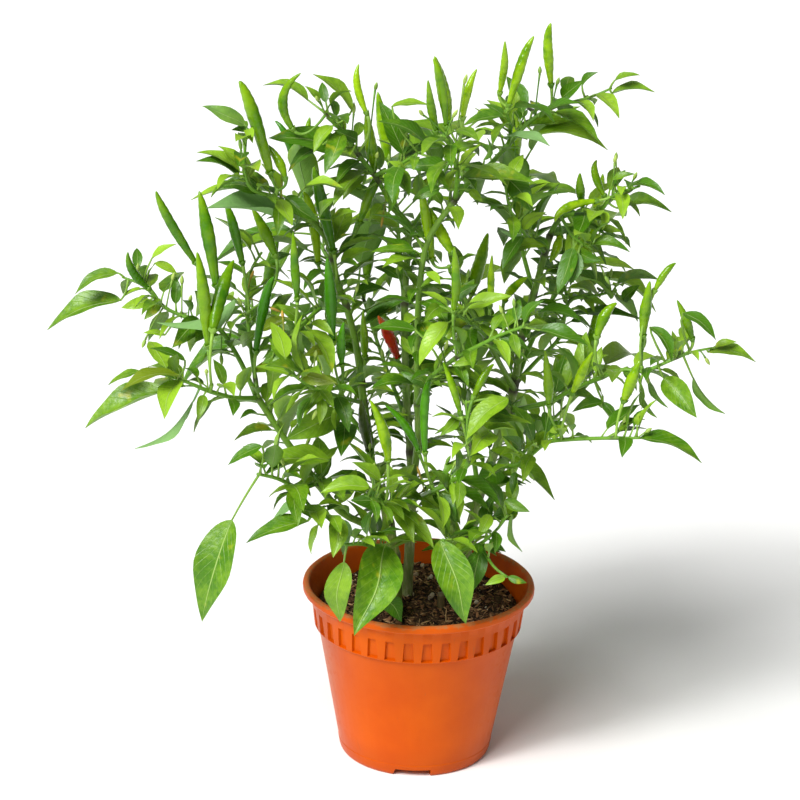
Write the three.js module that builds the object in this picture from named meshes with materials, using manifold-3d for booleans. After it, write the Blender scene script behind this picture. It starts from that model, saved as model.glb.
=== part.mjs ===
// A chilli pepper plant in its pot, in millimetres, +Z up.
// The origin is the middle of the pot's foot, on the surface that it stands on.
// The plant's places are read from the reference photograph, as pixels x and y of its 800 x 800 frame
// with a depth: how far a point lies behind the pot's axis, in millimetres.
import * as THREE from "three";
import { mergeVertices } from "three/addons/utils/BufferGeometryUtils.js";
import Module from "manifold-3d";

const wasm = await Module();
wasm.setup();

// ---- Driving dimensions ----
const pot = {
  height: 155.3,
  rimRadius: 100,
  lipInnerRadius: 94,
  lipHeight: 7,
  lipRound: 2.5, // how far the lip's edges are rounded off
  collarTopRadius: 93.2,
  collarFootRadius: 89.6,
  collarFoot: 117.5, // height of the collar's lower edge
  bodyTopRadius: 86.4,
  bodyFootRadius: 66.2,
  edgeHeight: 4.5, // of the rounded edge under the body
  footRadius: 63.4,
  footWidth: 4, // of the ring that the pot stands on
  discRadius: 24, // of the floor's flat middle, which stands on the surface too
  channelRadius: 30, // where the raised channel round that middle begins
  channelHeight: 7, // of the channel's underside
  slopeInset: 1.4, // how much narrower the slope between them is inside
  floor: 3,
  wall: 2.8,
  step: 3, // how far under the collar's lower edge the inside widens
  facets: 36,
};
const slot = { count: 36, width: 8, height: 15, foot: 121.5, depth: 2.2 };
const notch = { count: 3, width: 32, height: 6.5, depth: 12, turn: -1.5 };
const drain = { count: 4, radius: 4.5, circle: 44, sides: 6 };
const soil = { top: 137, edgeDrop: 3, relief: 2.4, gap: 0.3, sideGap: 0.36, rings: [0.6] };
const stemDepthInSoil = 42;
const meetingGap = 0.4; // between a twig or stalk and what carries it
const twigSides = 3;
const stemSides = 6;
const leaf = {
  slenderness: 0.4, // width to length
  widest: 0.56, // the most that a width may be of a length
  ballGap: 4.5, // between the balls that stand for a blade, and their reach as a share of its half width
  ballReach: 0.75,
  keel: 1.3,
  fold: 0.08, // how far the edges lift, as a share of the half width
  arch: 0.09, // how far the middle lifts, as a share of the length
  stalkRadius: 1,
  shortStalk: 9, // a shorter stalk has no ring at its end
  small: 70, // a shorter blade has two stations instead of three
  smallStations: [0.27, 0.66],
  stations: [0.17, 0.42, 0.74],
};
const ruleLeaf = {
  first: 0.3, // where along its limb the first stands
  length: 44,
  lengthSpread: 34,
  stalk: 12,
  stalkSpread: 14,
  lift: 3, // of the stalk's end
  droop: 0.15,
  tipDroop: 0.3,
  tilt: 0.5,
  tries: 14,
  turnStep: 0.9,
  smaller: 0.75, // the second half of the tries makes a leaf this much smaller
};
const chilli = {
  sides: 5,
  calyx: 0.74, // the calyx's share of the fruit's radius
  neck: 3, // from the stalk's end to the calyx
  stations: [[0.3, 1], [0.74, 0.74]], // along the fruit, with their share of its radius
  stalkRadius: 1.3,
  straightStalk: 20, // a shorter stalk has no bend
  sharedStalk: 5,
  sharedRadius: 2,
};
const ruleChilli = {
  out: 8, // from its limb to the fruit
  rise: 20,
  lean: 10, // of the fruit
  leanSpread: 6,
  length: 56,
  width: 10,
  widthSpread: 2,
  tries: 8,
};
const bud = { radius: 2.1, stalkRadius: 0.7, neck: 0.72 };
const stalkFree = 9; // how near to its foot a stalk may pass other limbs
const firstFoot = 9; // how far along its spray the first stalk stands
const lastFoot = 2; // and how far the last one stands from the spray's end
const keepOff = { blade: 3.2, stalk: 0.8, limb: 0.8, chilli: 0.8, sameNode: 0.6 };

// The photograph's view: the camera looks at target from distance, turned down by pitch and leaning by roll.
const view = { pitch: 19.587, roll: 1.371, focal: 2847.67, middle: 400, distance: 2400 };
view.target = new THREE.Vector3(-19.888, 0, 319.852);

const colours = {
  pot: 0xdf5f1e,
  soil: 0x3a2a1e,
  stem: 0x6d7a3c,
  leaf: 0x5a9a22,
  chilli: 0x74ad1c,
  darkChilli: 0x2e5f1a,
  redChilli: 0xc0301c,
};

// ---- The plant, read from the photograph ----
// A limb is a row of [x, y, depth, radius]. The first limb of a stem stands in the soil.
const stems = {
  stem_left: {
    limbs: [
      [[396, 606, -16, 5.6], [395, 560, -16, 5], [388, 520, -14, 4.4], [383, 498, -12, 4],
        [372, 475, -8, 3.6], [370, 440, 0, 3.4], [363, 400, 8, 3.2], [358, 350, 15, 3],
        [345, 300, 18, 2.8], [337, 285, 18, 2.8], [330, 240, 15, 2.4], [305, 215, 5, 2.1]],
      [[387, 530, -14, 3.6], [343, 517, -40, 3.2], [315, 480, -55, 3], [283, 437, -50, 2.7],
        [256, 395, -45, 2.6]],
    ],
  },
  stem_middle: {
    limbs: [
      [[407, 593, 12, 4.6], [410, 540, 15, 4.2], [412, 500, 18, 4], [411, 450, 24, 3.6],
        [406, 400, 30, 3.3], [404, 300, 42, 2.9], [410, 225, 45, 2.7]],
      [[412, 486, 19, 3.2], [419, 440, 6, 3], [417, 400, 0, 2.9], [418, 300, -20, 2.7],
        [425, 240, -28, 2.5], [455, 200, -30, 2.5]],
    ],
  },
  stem_right: {
    limbs: [
      [[466, 592, 10, 4.8], [466, 545, 10, 4.3], [480, 490, 12, 3.9], [500, 440, 18, 3.6],
        [515, 388, 20, 3.4], [520, 340, 25, 3], [535, 290, 30, 2.8], [550, 235, 32, 2.6]],
      [[515, 390, 20, 2.6], [503, 370, 5, 2.4], [485, 335, -10, 2.2], [465, 300, -20, 2],
        [450, 270, -25, 1.8]],
    ],
  },
  stem_stub: { limbs: [[[441, 606, -14, 3.4], [441, 593, -14, 3]]] },
};

// A spray's first limb grows from a stem, and the others from its own limbs. A leaf is a row of
// [base x, base y, tip x, tip y, width as seen in pixels, face, tip's depth less its base's], where face
// is -1 if the underside shows. A bud is [foot x, foot y, end x, end y].
// leavesByRule more leaves stand round the limbs, and chilliesByRule chillies on limbs that the view hides.
const sprays = {
  spray_left_far: {
    limbs: [
      [[256, 395, -45, 2.2], [240, 360, -40, 2], [220, 327, -35, 2], [200, 323, -35, 1.7],
        [163, 308, -30, 1.5], [145, 285, -25, 1.3], [122, 277, -22, 1]],
    ],
    leaves: [
      [121, 300, 47, 330, 18], [118, 273, 75, 294, 11], [150, 300, 121, 308, 12],
      [160, 299, 144, 320, 12],
      [235, 300, 157, 323, 16, -1, -20], [200, 320, 172, 348, 22],
    ],
    buds: [[138, 284, 138, 263], [182, 315, 182, 275]],
    leavesByRule: 0,
  },
  spray_left_middle: {
    limbs: [
      [[257, 398, -46, 2], [232, 398, -70, 1.8], [205, 390, -85, 1.7], [190, 383, -91, 1.4],
        [165, 375, -97, 1.1]],
    ],
    leaves: [
      [178, 375, 121, 391, 12], [140, 371, 108, 385, 7], [165, 391, 85, 428, 19],
      [193, 402, 135, 449, 11, -1], [185, 360, 150, 348, 8],
    ],
    buds: [],
    leavesByRule: 0,
  },
  spray_left_upper: {
    limbs: [[[257, 390, -45, 1.9], [251, 350, -18, 1.7], [246, 303, -5, 1.6], [250, 270, 5, 1.3],
      [262, 252, 10, 1]]],
    leaves: [
      [268, 262, 292, 254, 9], [262, 330, 292, 318, 12], [242, 345, 262, 330, 12], [252, 372, 300, 368, 12],
    ],
    buds: [[254, 296, 254, 270]],
    leavesByRule: 0,
  },
  spray_left_low: {
    limbs: [
      [[317, 483, -54, 2.1], [300, 490, -82, 1.9], [278, 478, -99, 1.6], [257, 474, -106, 1.3]],
      [[300, 490, -82, 1.6], [312, 512, -92, 1.4], [330, 519, -96, 1.1]],
    ],
    leaves: [
      [262, 446, 228, 465, 11], [330, 460, 257, 462, 20, 1, -15], [232, 520, 202, 622, 38, 1, -14],
      [308, 521, 246, 543, 16], [300, 500, 272, 522, 8], [315, 478, 290, 500, 8],
      [330, 515, 293, 508, 14], [338, 517, 333, 558, 20],
      [343, 520, 343, 555, 12],
    ],
    buds: [],
    leavesByRule: 0,
  },
  spray_front_left: {
    limbs: [[[393, 556, -16, 2.2], [378, 548, -60, 1.9], [360, 543, -88, 1.7], [345, 545, -100, 1.3]]],
    leaves: [
      [385, 545, 354, 636, 45, 1, -44], [344, 562, 340, 622, 26, 1, -14], [387, 600, 402, 622, 20, 1, -30],
    ],
    buds: [],
    leavesByRule: 0,
  },
  spray_front_middle: {
    limbs: [[[389, 524, -14, 2], [393, 507, -60, 1.7], [380, 500, -98, 1.5], [365, 495, -119, 1.1]]],
    leaves: [
      [370, 487, 320, 493, 16], [385, 503, 350, 500, 20], [405, 500, 387, 522, 14],
      [380, 480, 352, 462, 12],
    ],
    buds: [],
    leavesByRule: 0,
  },
  spray_inner_left: {
    limbs: [[[363, 403, 8, 2], [340, 397, -48, 1.8], [318, 390, -82, 1.6], [300, 380, -108, 1.4],
      [285, 368, -118, 1.1]]],
    leaves: [
      [345, 423, 341, 457, 24], [340, 412, 285, 440, 28], [300, 372, 265, 366, 10],
      [301, 374, 337, 383, 16], [333, 381, 306, 411, 14],
    ],
    buds: [],
    leavesByRule: 0,
  },
  spray_inner_left_upper: {
    limbs: [[[342, 294, 18, 2], [315, 312, -41, 1.8], [290, 338, -68, 1.6], [272, 350, -83, 1.2]]],
    leaves: [
      [328, 348, 303, 356, 12], [318, 300, 350, 312, 14], [300, 320, 276, 304, 12],
      [285, 345, 262, 364, 12], [312, 322, 334, 336, 10],
    ],
    buds: [[283, 340, 282, 310]],
    leavesByRule: 0,
  },
  spray_top_left: {
    limbs: [[[305, 215, 5, 2.1], [275, 197, -27, 2], [250, 190, -43, 1.6], [243, 172, -48, 1.4],
      [247, 128, -51, 1]]],
    leaves: [
      [245, 125, 202, 106, 15], [242, 167, 218, 146, 9],
      [240, 172, 197, 152, 9], [240, 178, 196, 161, 10], [262, 193, 218, 187, 16],
      [295, 225, 206, 208, 17], [285, 197, 318, 222, 16], [320, 215, 336, 198, 10],
      [305, 187, 343, 188, 8],
    ],
    buds: [[285, 195, 283, 162]],
    leavesByRule: 0,
  },
  spray_top_left_high: {
    limbs: [
      [[410, 225, 45, 2.3], [392, 205, 36, 2.1], [375, 175, 16, 2], [358, 155, 7, 2],
        [350, 140, 1, 1.6], [322, 110, -12, 1.1]],
      [[375, 175, 16, 1.6], [395, 168, -22, 1.4], [420, 152, -40, 1.1]],
    ],
    leaves: [
      [352, 110, 313, 74, 12], [308, 100, 263, 85, 8],
      [342, 150, 268, 138, 24, 1, -12], [357, 140, 333, 130, 12], [320, 147, 288, 172, 10],
      [362, 190, 328, 178, 10], [430, 148, 378, 121, 12],
      [447, 165, 404, 167, 16],
    ],
    buds: [[368, 165, 377, 82], [352, 142, 354, 102]],
    leavesByRule: 0,
  },
  spray_top_middle: {
    limbs: [[[455, 200, -30, 2.2], [458, 175, -44, 1.8], [452, 150, -65, 1.5], [446, 132, -72, 1.1]]],
    leaves: [
      [460, 180, 537, 184, 16], [440, 188, 412, 200, 12],
    ],
    buds: [],
    leavesByRule: 0,
  },
  spray_top_right: {
    limbs: [
      [[456, 199, -30, 2.2], [470, 180, -18, 2.1], [490, 165, -5, 2], [508, 145, 5, 2],
        [530, 120, 10, 1.6], [552, 107, 15, 1.5], [592, 97, 20, 1.2], [612, 88, 22, 1]],
      [[508, 145, 5, 1.6], [512, 128, -10, 1.3], [505, 110, -18, 1]],
    ],
    leaves: [
      [612, 93, 655, 92, 8], [562, 98, 585, 80, 14],
      [540, 117, 580, 103, 6], [518, 128, 585, 127, 9], [537, 134, 608, 150, 14],
      [505, 137, 550, 146, 9],
    ],
    buds: [[534, 116, 540, 66], [515, 140, 517, 170]],
    leavesByRule: 0,
  },
  spray_right_upper: {
    limbs: [
      [[550, 235, 32, 2.3], [560, 215, 28, 2], [600, 213, 8, 1.7], [612, 195, -2, 1.5],
        [640, 186, -12, 1]],
      [[560, 215, 28, 1.6], [573, 238, -12, 1.3], [592, 249, -32, 1]],
    ],
    leaves: [
      [578, 252, 602, 261, 13], [590, 245, 630, 252, 10], [580, 240, 612, 243, 8],
      [617, 208, 672, 212, 11], [632, 185, 665, 195, 8],
    ],
    buds: [[612, 194, 616, 155], [596, 249, 610, 285]],
    leavesByRule: 0,
  },
  spray_right_inner_top: {
    limbs: [[[545, 252, 31, 1.9], [525, 235, -11, 1.7], [510, 212, -35, 1.4], [505, 185, -41, 1]]],
    leaves: [
      [508, 178, 533, 212, 22], [538, 242, 500, 230, 14, -1], [512, 250, 548, 246, 12],
      [522, 228, 546, 212, 12],
    ],
    buds: [],
    leavesByRule: 0,
  },
  spray_inner_right: {
    limbs: [[[486, 336, -10, 1.9], [470, 322, -57, 1.6], [452, 312, -86, 1.2]]],
    leaves: [
      [468, 308, 512, 296, 14], [470, 330, 474, 352, 16], [440, 306, 424, 322, 14],
      [452, 300, 478, 284, 12],
    ],
    buds: [],
    leavesByRule: 0,
  },
  spray_centre: {
    limbs: [[[417, 404, 0, 2], [430, 377, -57, 1.8], [458, 356, -95, 1.8], [500, 335, -114, 1.5],
      [525, 326, -122, 1.1]]],
    leaves: [
      [540, 330, 588, 346, 14], [476, 360, 452, 366, 10], [415, 330, 372, 328, 12],
      [500, 338, 530, 350, 12], [432, 384, 400, 372, 14], [524, 322, 544, 300, 10],
    ],
    buds: [],
    leavesByRule: 0,
  },
  spray_centre_low: {
    limbs: [[[413, 500, 16, 2.3], [440, 488, -67, 2.1], [462, 475, -96, 2], [470, 460, -103, 1.8],
      [468, 430, -103, 1.4], [466, 400, -103, 1]]],
    leaves: [
      [423, 498, 452, 523, 18], [490, 432, 470, 456, 24], [508, 398, 466, 440, 20],
      [458, 418, 440, 436, 12], [448, 492, 430, 470, 10],
    ],
    buds: [[425, 494, 417, 466]],
    leavesByRule: 0,
  },
  spray_right_middle: {
    limbs: [
      [[517, 382, 20, 2.1], [540, 357, 40, 1.9], [560, 340, 50, 1.8], [568, 298, 60, 1.7],
        [596, 296, 60, 1.4], [617, 290, 58, 1]],
      [[568, 298, 60, 1.5], [558, 270, 62, 1]],
    ],
    leaves: [
      [617, 283, 660, 280, 11], [623, 300, 640, 285, 12], [612, 298, 570, 273, 10],
      [600, 297, 573, 285, 9], [553, 268, 530, 258, 12],
    ],
    buds: [[606, 294, 612, 268]],
    leavesByRule: 0,
  },
  spray_right_far: {
    limbs: [[[512, 411, 19, 2.3], [550, 402, -24, 2.1], [575, 388, -47, 1.9], [603, 377, -62, 1.8],
      [622, 368, -70, 1.7], [643, 373, -77, 1.6], [660, 365, -82, 1.4], [690, 352, -84, 1.2],
      [712, 348, -84, 1]]],
    leaves: [
      [664, 378, 697, 418, 24], [693, 378, 725, 414, 13, -1],
      [648, 378, 668, 408, 12, -1], [708, 352, 756, 362, 12],
      [683, 313, 716, 340, 12], [650, 327, 672, 362, 12], [603, 402, 572, 412, 11],
    ],
    buds: [[700, 352, 710, 365]],
    leavesByRule: 0,
  },
  spray_right_low: {
    limbs: [[[490, 466, 14, 2.3], [518, 466, -37, 2.1], [547, 441, -63, 1.9], [572, 439, -76, 1.8],
      [612, 438, -95, 1.5], [640, 438, -108, 1.1]]],
    leaves: [
      [550, 437, 569, 425, 12], [625, 437, 622, 458, 15], [640, 438, 702, 463, 13],
      [490, 450, 555, 500, 14, 1, -20], [500, 470, 471, 492, 24],
      [512, 480, 512, 508, 14], [515, 505, 490, 520, 20], [520, 450, 502, 436, 12],
    ],
    buds: [[612, 438, 628, 414]],
    leavesByRule: 0,
  },
  spray_front_right: {
    limbs: [
      [[466, 562, 9, 2.3], [458, 550, -50, 2], [443, 540, -88, 1.5]],
      [[458, 550, -50, 1.7], [480, 545, -72, 1.5], [497, 530, -82, 1.2], [508, 515, -84, 1]],
      [[480, 545, -72, 1.4], [494, 568, -98, 1.2], [507, 577, -106, 1]],
    ],
    leaves: [
      [440, 540, 466, 624, 37, 1, -22], [480, 550, 472, 592, 22], [512, 515, 522, 552, 10, -1],
      [490, 515, 478, 538, 13], [490, 540, 506, 552, 10], [508, 577, 527, 583, 8],
      [505, 500, 530, 512, 12],
    ],
    buds: [],
    leavesByRule: 0,
  },
  // The far side, which the view hides
  spray_back_left: {
    limbs: [[[370, 442, 0, 2.3], [345, 410, 42, 2], [310, 370, 81, 1.8], [275, 330, 110, 1.5],
      [245, 300, 128, 1.1]]],
    leaves: [],
    buds: [],
    leavesByRule: 6,
    chilliesByRule: 1,
  },
  spray_back_left_high: {
    limbs: [[[347, 306, 18, 2], [330, 262, 54, 1.8], [310, 225, 83, 1.5], [290, 198, 100, 1.1]]],
    leaves: [],
    buds: [],
    leavesByRule: 6,
    chilliesByRule: 1,
  },
  spray_back_middle_left: {
    limbs: [[[411, 452, 23, 2.3], [402, 410, 67, 2], [385, 365, 110, 1.8], [370, 320, 139, 1.5],
      [358, 280, 156, 1.1]]],
    leaves: [],
    buds: [],
    leavesByRule: 6,
    chilliesByRule: 1,
  },
  spray_back_middle_high: {
    limbs: [[[404, 302, 41, 2], [400, 252, 83, 1.8], [396, 208, 112, 1.5], [392, 168, 129, 1.1]]],
    leaves: [],
    buds: [],
    leavesByRule: 6,
    chilliesByRule: 1,
  },
  spray_back_top: {
    limbs: [[[409, 232, 45, 2], [430, 200, 75, 1.7], [448, 165, 93, 1.4], [462, 132, 100, 1]]],
    leaves: [],
    buds: [],
    leavesByRule: 6,
    chilliesByRule: 1,
  },
  spray_back_right_high: {
    limbs: [[[534, 294, 30, 2], [522, 250, 75, 1.8], [516, 205, 106, 1.5], [520, 168, 120, 1.1]]],
    leaves: [],
    buds: [],
    leavesByRule: 6,
    chilliesByRule: 1,
  },
  spray_back_right: {
    limbs: [[[516, 382, 21, 2.2], [530, 345, 67, 2], [552, 300, 105, 1.7], [578, 262, 126, 1.4],
      [598, 238, 135, 1]]],
    leaves: [],
    buds: [],
    leavesByRule: 6,
    chilliesByRule: 1,
  },
  spray_back_middle_right: {
    limbs: [[[479, 494, 12, 2.2], [470, 435, 66, 2], [464, 382, 111, 1.8], [460, 335, 145, 1.5],
      [464, 292, 163, 1.1]]],
    leaves: [],
    buds: [],
    leavesByRule: 6,
    chilliesByRule: 1,
  },
  spray_back_right_low: {
    limbs: [[[468, 538, 10, 2.3], [500, 482, 64, 2], [540, 432, 100, 1.7], [575, 398, 120, 1.4],
      [598, 374, 129, 1]]],
    leaves: [],
    buds: [],
    leavesByRule: 6,
    chilliesByRule: 1,
  },
};

// A bunch of chillies shares one foot on a limb. A chilli is a row of
// [tip x, tip y, middle x, middle y, base x, base y, width as seen, tip's depth less its base's].
// A bunch with no node of its own grows into the limb that carries it.
const bunches = [
  { node: "chillies_left_outer", foot: [208, 324],
    chillies: [[156, 191, 168, 218, 195, 262, 10, -6], [199, 191, 207, 228, 216, 285, 13, 8]] },
  { node: "chillies_left_inner", foot: [210, 391],
    chillies: [[197, 252, 203, 290, 208, 345, 13, 0], [234, 260, 222, 290, 213, 330, 14, 44]] },
  { node: "chilli_left_dark", foot: [256, 383], colour: "darkChilli",
    chillies: [[274, 277, 265, 300, 256, 350, 11, -16]] },
  { node: "chillies_left_upper", foot: [248, 314],
    chillies: [[225, 202, 233, 225, 242, 262, 10, 4], [252, 208, 264, 230, 275, 255, 11, 10]] },
  { node: "chillies_top_left", foot: [275, 197],
    chillies: [[239, 81, 252, 110, 270, 172, 14, 0], [263, 143, 277, 158, 285, 178, 9, 14]] },
  { node: "chilli_top_left_dark", foot: [304, 214], colour: "darkChilli",
    chillies: [[275, 121, 290, 145, 305, 198, 9, 12]] },
  { node: "chillies_middle_left", foot: [337, 286],
    chillies: [[314, 167, 320, 195, 333, 250, 13, -10], [303, 192, 312, 215, 318, 262, 11, -18]] },
  { node: "", foot: [332, 258], chillies: [[386, 168, 373, 187, 360, 222, 11, -6]] },
  { node: "chillies_inner_left", foot: [341, 397], colour: "darkChilli",
    chillies: [[327, 258, 330, 290, 332, 340, 12, -14], [344, 322, 341, 342, 342, 364, 9, -4]] },
  { node: "chilli_top_curved", foot: [326, 114],
    chillies: [[301, 73, 283, 98, 292, 128, 10, -6]] },
  { node: "", foot: [357, 153], chillies: [[359, 64, 357, 85, 366, 112, 8, 8]] },
  { node: "chilli_top_left_high", foot: [377, 180],
    chillies: [[366, 112, 370, 140, 374, 168, 12, -8]] },
  { node: "chilli_front", foot: [386, 503],
    chillies: [[370, 400, 383, 430, 388, 460, 12, -6]] },
  { node: "chillies_centre_dark", foot: [434, 490], colour: "darkChilli",
    chillies: [[385, 405, 405, 425, 418, 450, 9, -4], [431, 380, 425, 400, 425, 452, 9, 8]] },
  { node: "chillies_centre", foot: [451, 272],
    chillies: [[420, 190, 426, 215, 432, 258, 11, -6], [430, 208, 441, 232, 452, 252, 12, 10]] },
  { node: "chilli_centre_slender", foot: [457, 357],
    chillies: [[454, 247, 456, 275, 454, 310, 9, -12]] },
  { node: "chillies_top_middle", foot: [448, 140],
    chillies: [[433, 59, 441, 82, 446, 126, 9, 0], [428, 80, 431, 105, 436, 130, 9, -14]] },
  { node: "", foot: [457, 168], chillies: [[477, 69, 468, 90, 463, 117, 9, 6]] },
  { node: "chillies_top_right", foot: [506, 113],
    chillies: [[505, 41, 504, 65, 500, 92, 8, -8], [534, 36, 522, 62, 509, 104, 10, 6]] },
  { node: "chilli_top_right_upright", foot: [551, 108],
    chillies: [[551, 23, 548, 45, 551, 84, 10, 0]] },
  { node: "chillies_right_upper", foot: [600, 213],
    chillies: [[580, 173, 580, 188, 582, 204, 9, -4], [597, 160, 595, 174, 604, 195, 8, 6]] },
  { node: "", foot: [611, 197], chillies: [[555, 222, 566, 208, 595, 201, 9, -16]] },
  { node: "chillies_right", foot: [643, 372],
    chillies: [[650, 281, 646, 305, 643, 335, 11, -4], [676, 263, 666, 272, 655, 290, 8, 6]] },
  { node: "chilli_right_outer", foot: [678, 357],
    chillies: [[677, 300, 686, 320, 692, 338, 9, -4]] },
  { node: "chillies_right_low", foot: [562, 440],
    chillies: [[545, 350, 548, 380, 549, 404, 10, -4], [593, 352, 583, 370, 573, 392, 10, -8]] },
  { node: "chilli_right_low_outer", foot: [616, 438],
    chillies: [[640, 360, 632, 380, 624, 400, 12, 0]] },
  { node: "chilli_red", foot: [404, 380], colour: "redChilli",
    chillies: [[378, 316, 388, 334, 397, 357, 11, -30]] },
  { node: "", foot: [602, 377], chillies: [[617, 303, 605, 315, 597, 336, 11, 6]] },
  { node: "", foot: [520, 338], chillies: [[528, 277, 515, 286, 505, 300, 9, -20]] },
  { node: "", foot: [488, 338], chillies: [[492, 255, 491, 280, 490, 305, 8, 0]] },
  { node: "", foot: [470, 460], chillies: [[443, 362, 452, 385, 460, 412, 8, 4]] },
  { node: "", foot: [469, 445], chillies: [[494, 364, 484, 376, 474, 396, 8, 10]] },
  { node: "", foot: [361, 382], chillies: [[363, 310, 364, 336, 365, 356, 9, -12]] },
  { node: "", foot: [158, 306], chillies: [[128, 252, 132, 270, 148, 288, 9, -8]] },
  { node: "", foot: [291, 337], chillies: [[293, 232, 295, 265, 297, 298, 9, 4]] },
  { node: "", foot: [372, 470], chillies: [[361, 400, 364, 424, 369, 450, 11, -20]] },
  { node: "", foot: [558, 220], chillies: [[550, 262, 556, 250, 560, 236, 10, -20]] },
];

// The crown's outline as the view shows it, and the clear gaps in it, as [x, y, radius]:
// leaves that stand by rule keep inside the one and out of the others.
const crownOutline = [
  [112, 290], [150, 225], [215, 180], [230, 110], [290, 85], [350, 70], [430, 72], [500, 60], [570, 75],
  [620, 110], [625, 165], [655, 215], [640, 280], [690, 320], [700, 360], [680, 420], [600, 450],
  [520, 500], [500, 560], [440, 560], [330, 540], [260, 520], [240, 450], [170, 430], [130, 370],
];
const crownGaps = [
  [480, 230, 20], [300, 450, 12], [440, 460, 11], [600, 390, 13], [450, 400, 9], [480, 345, 9],
  [525, 265, 12], [590, 425, 14], [260, 330, 10], [430, 360, 11], [575, 480, 40], [215, 500, 45],
  [180, 240, 12], [620, 330, 14], [545, 165, 16], [300, 275, 9], [650, 240, 20], [400, 90, 16],
];

// ---- Small helpers ----
const vec = (x, y, z) => new THREE.Vector3(x, y, z);
const between = (a, b, t) => a.clone().lerp(b, t);
const degrees = THREE.MathUtils.degToRad;
const up = vec(0, 0, 1);
const goldenAngle = Math.PI * (3 - Math.sqrt(5));
const ringWish = vec(0.3, -1, 0.2); // where the first corner of a stalk's or a fruit's ring looks

// A repeatable draw from 0 to 1 for a whole number.
function draw(seed) {
  const x = Math.sin(seed * 12.9898 + 78.233) * 43758.5453;
  return x - Math.floor(x);
}

// The view's axes, and the point of a pixel's ray at a depth.
const pitch = degrees(view.pitch);
const roll = degrees(view.roll);
const forward = vec(0, Math.cos(pitch), -Math.sin(pitch));
const eye = view.target.clone().addScaledVector(forward, -view.distance);
const levelUp = vec(0, Math.sin(pitch), Math.cos(pitch));
const viewRight = vec(1, 0, 0).multiplyScalar(Math.cos(roll)).addScaledVector(levelUp, Math.sin(roll));
const viewUp = vec(-1, 0, 0).multiplyScalar(Math.sin(roll)).addScaledVector(levelUp, Math.cos(roll));

function spot(x, y, depth) {
  const ray = forward
    .clone()
    .addScaledVector(viewRight, (x - view.middle) / view.focal)
    .addScaledVector(viewUp, (view.middle - y) / view.focal);
  return eye.clone().addScaledVector(ray, (depth - eye.y) / ray.y);
}

function seenAt(point) {
  const d = point.clone().sub(eye);
  const far = d.dot(forward);
  return [
    view.middle + (view.focal * d.dot(viewRight)) / far,
    view.middle - (view.focal * d.dot(viewUp)) / far,
    far / view.focal, // millimetres to a pixel there
  ];
}

// A closed solid of corners and triangles.
function solidOf(corners, triangles) {
  const vertProperties = new Float32Array(corners.flatMap((c) => [c.x, c.y, c.z]));
  const mesh = new wasm.Mesh({ numProp: 3, vertProperties, triVerts: new Uint32Array(triangles.flat()) });
  return new wasm.Manifold(mesh);
}

// A closed solid of a three.js geometry.
function solidOfGeometry(geometry) {
  const bare = geometry.clone();
  bare.deleteAttribute("normal");
  bare.deleteAttribute("uv");
  const merged = mergeVertices(bare, 1e-4);
  const index = merged.index.array;
  const triangles = [];
  for (let i = 0; i < index.length; i += 3) {
    const [a, b, c] = [index[i], index[i + 1], index[i + 2]];
    if (a !== b && b !== c && c !== a) triangles.push([a, b, c]);
  }
  const p = merged.attributes.position;
  const corners = Array.from({ length: p.count }, (_, i) => vec(p.getX(i), p.getY(i), p.getZ(i)));
  return solidOf(corners, triangles);
}

// A lathed solid round Z, of a profile of [radius, height] that runs outside from bottom to top.
function turned(profile, facets) {
  const points = profile.map(([r, z]) => new THREE.Vector2(r, z));
  return solidOfGeometry(new THREE.LatheGeometry(points, facets).rotateX(Math.PI / 2));
}

// A closed skin over rings with as many corners each, and a tip where the last ring is one point.
function skin(rings) {
  const corners = rings.flat();
  const starts = [];
  rings.reduce((sum, ring) => (starts.push(sum), sum + ring.length), 0);
  const triangles = [];
  const n = rings[0].length;
  for (let i = 2; i < n; i += 1) triangles.push([starts[0], starts[0] + i, starts[0] + i - 1]);
  for (let k = 0; k + 1 < rings.length; k += 1) {
    const [low, high] = [starts[k], starts[k + 1]];
    for (let i = 0; i < n; i += 1) {
      const j = (i + 1) % n;
      if (rings[k + 1].length === 1) {
        triangles.push([low + i, low + j, high]);
      } else {
        triangles.push([low + i, low + j, high + j], [low + i, high + j, high + i]);
      }
    }
  }
  const last = rings.at(-1);
  const s = starts.at(-1);
  if (last.length > 1) for (let i = 2; i < n; i += 1) triangles.push([s, s + i - 1, s + i]);
  return solidOf(corners, triangles);
}

// Two directions square to one, the first as near as can be to a wish.
function frameOf(direction, wish) {
  const side = wish.clone().addScaledVector(direction, -wish.dot(direction));
  if (side.lengthSq() < 1e-6) side.set(direction.z, direction.x, direction.y).cross(direction);
  side.normalize();
  return [side, direction.clone().cross(side)];
}

function ringAt(centre, direction, wish, radius, sides) {
  const [a, b] = frameOf(direction, wish);
  return Array.from({ length: sides }, (_, i) => {
    const turn = (2 * Math.PI * i) / sides;
    return centre
      .clone()
      .addScaledVector(a, radius * Math.cos(turn))
      .addScaledVector(b, radius * Math.sin(turn));
  });
}

// A tapered tube through points; grow widens it and lengthens both its ends.
function tube(points, radii, sides, grow = 0) {
  const last = points.length - 1;
  let wish = ringWish;
  const rings = points.map((point, i) => {
    const direction = points[Math.min(i + 1, last)].clone().sub(points[Math.max(i - 1, 0)]).normalize();
    [wish] = frameOf(direction, wish);
    const stretch = i === 0 ? -grow : i === last ? grow : 0;
    const centre = point.clone().addScaledVector(direction, stretch);
    return ringAt(centre, direction, wish, radii[i] + grow, sides);
  });
  return skin(rings);
}

// ---- Pot and soil ----
// A block that stands out from the axis at a radius and a height, turned round it.
function block(width, depth, height, turn, radius, z) {
  const box = new THREE.BoxGeometry(depth, width, height);
  box.translate(radius, 0, z).rotateZ(turn);
  return solidOfGeometry(box);
}

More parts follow.
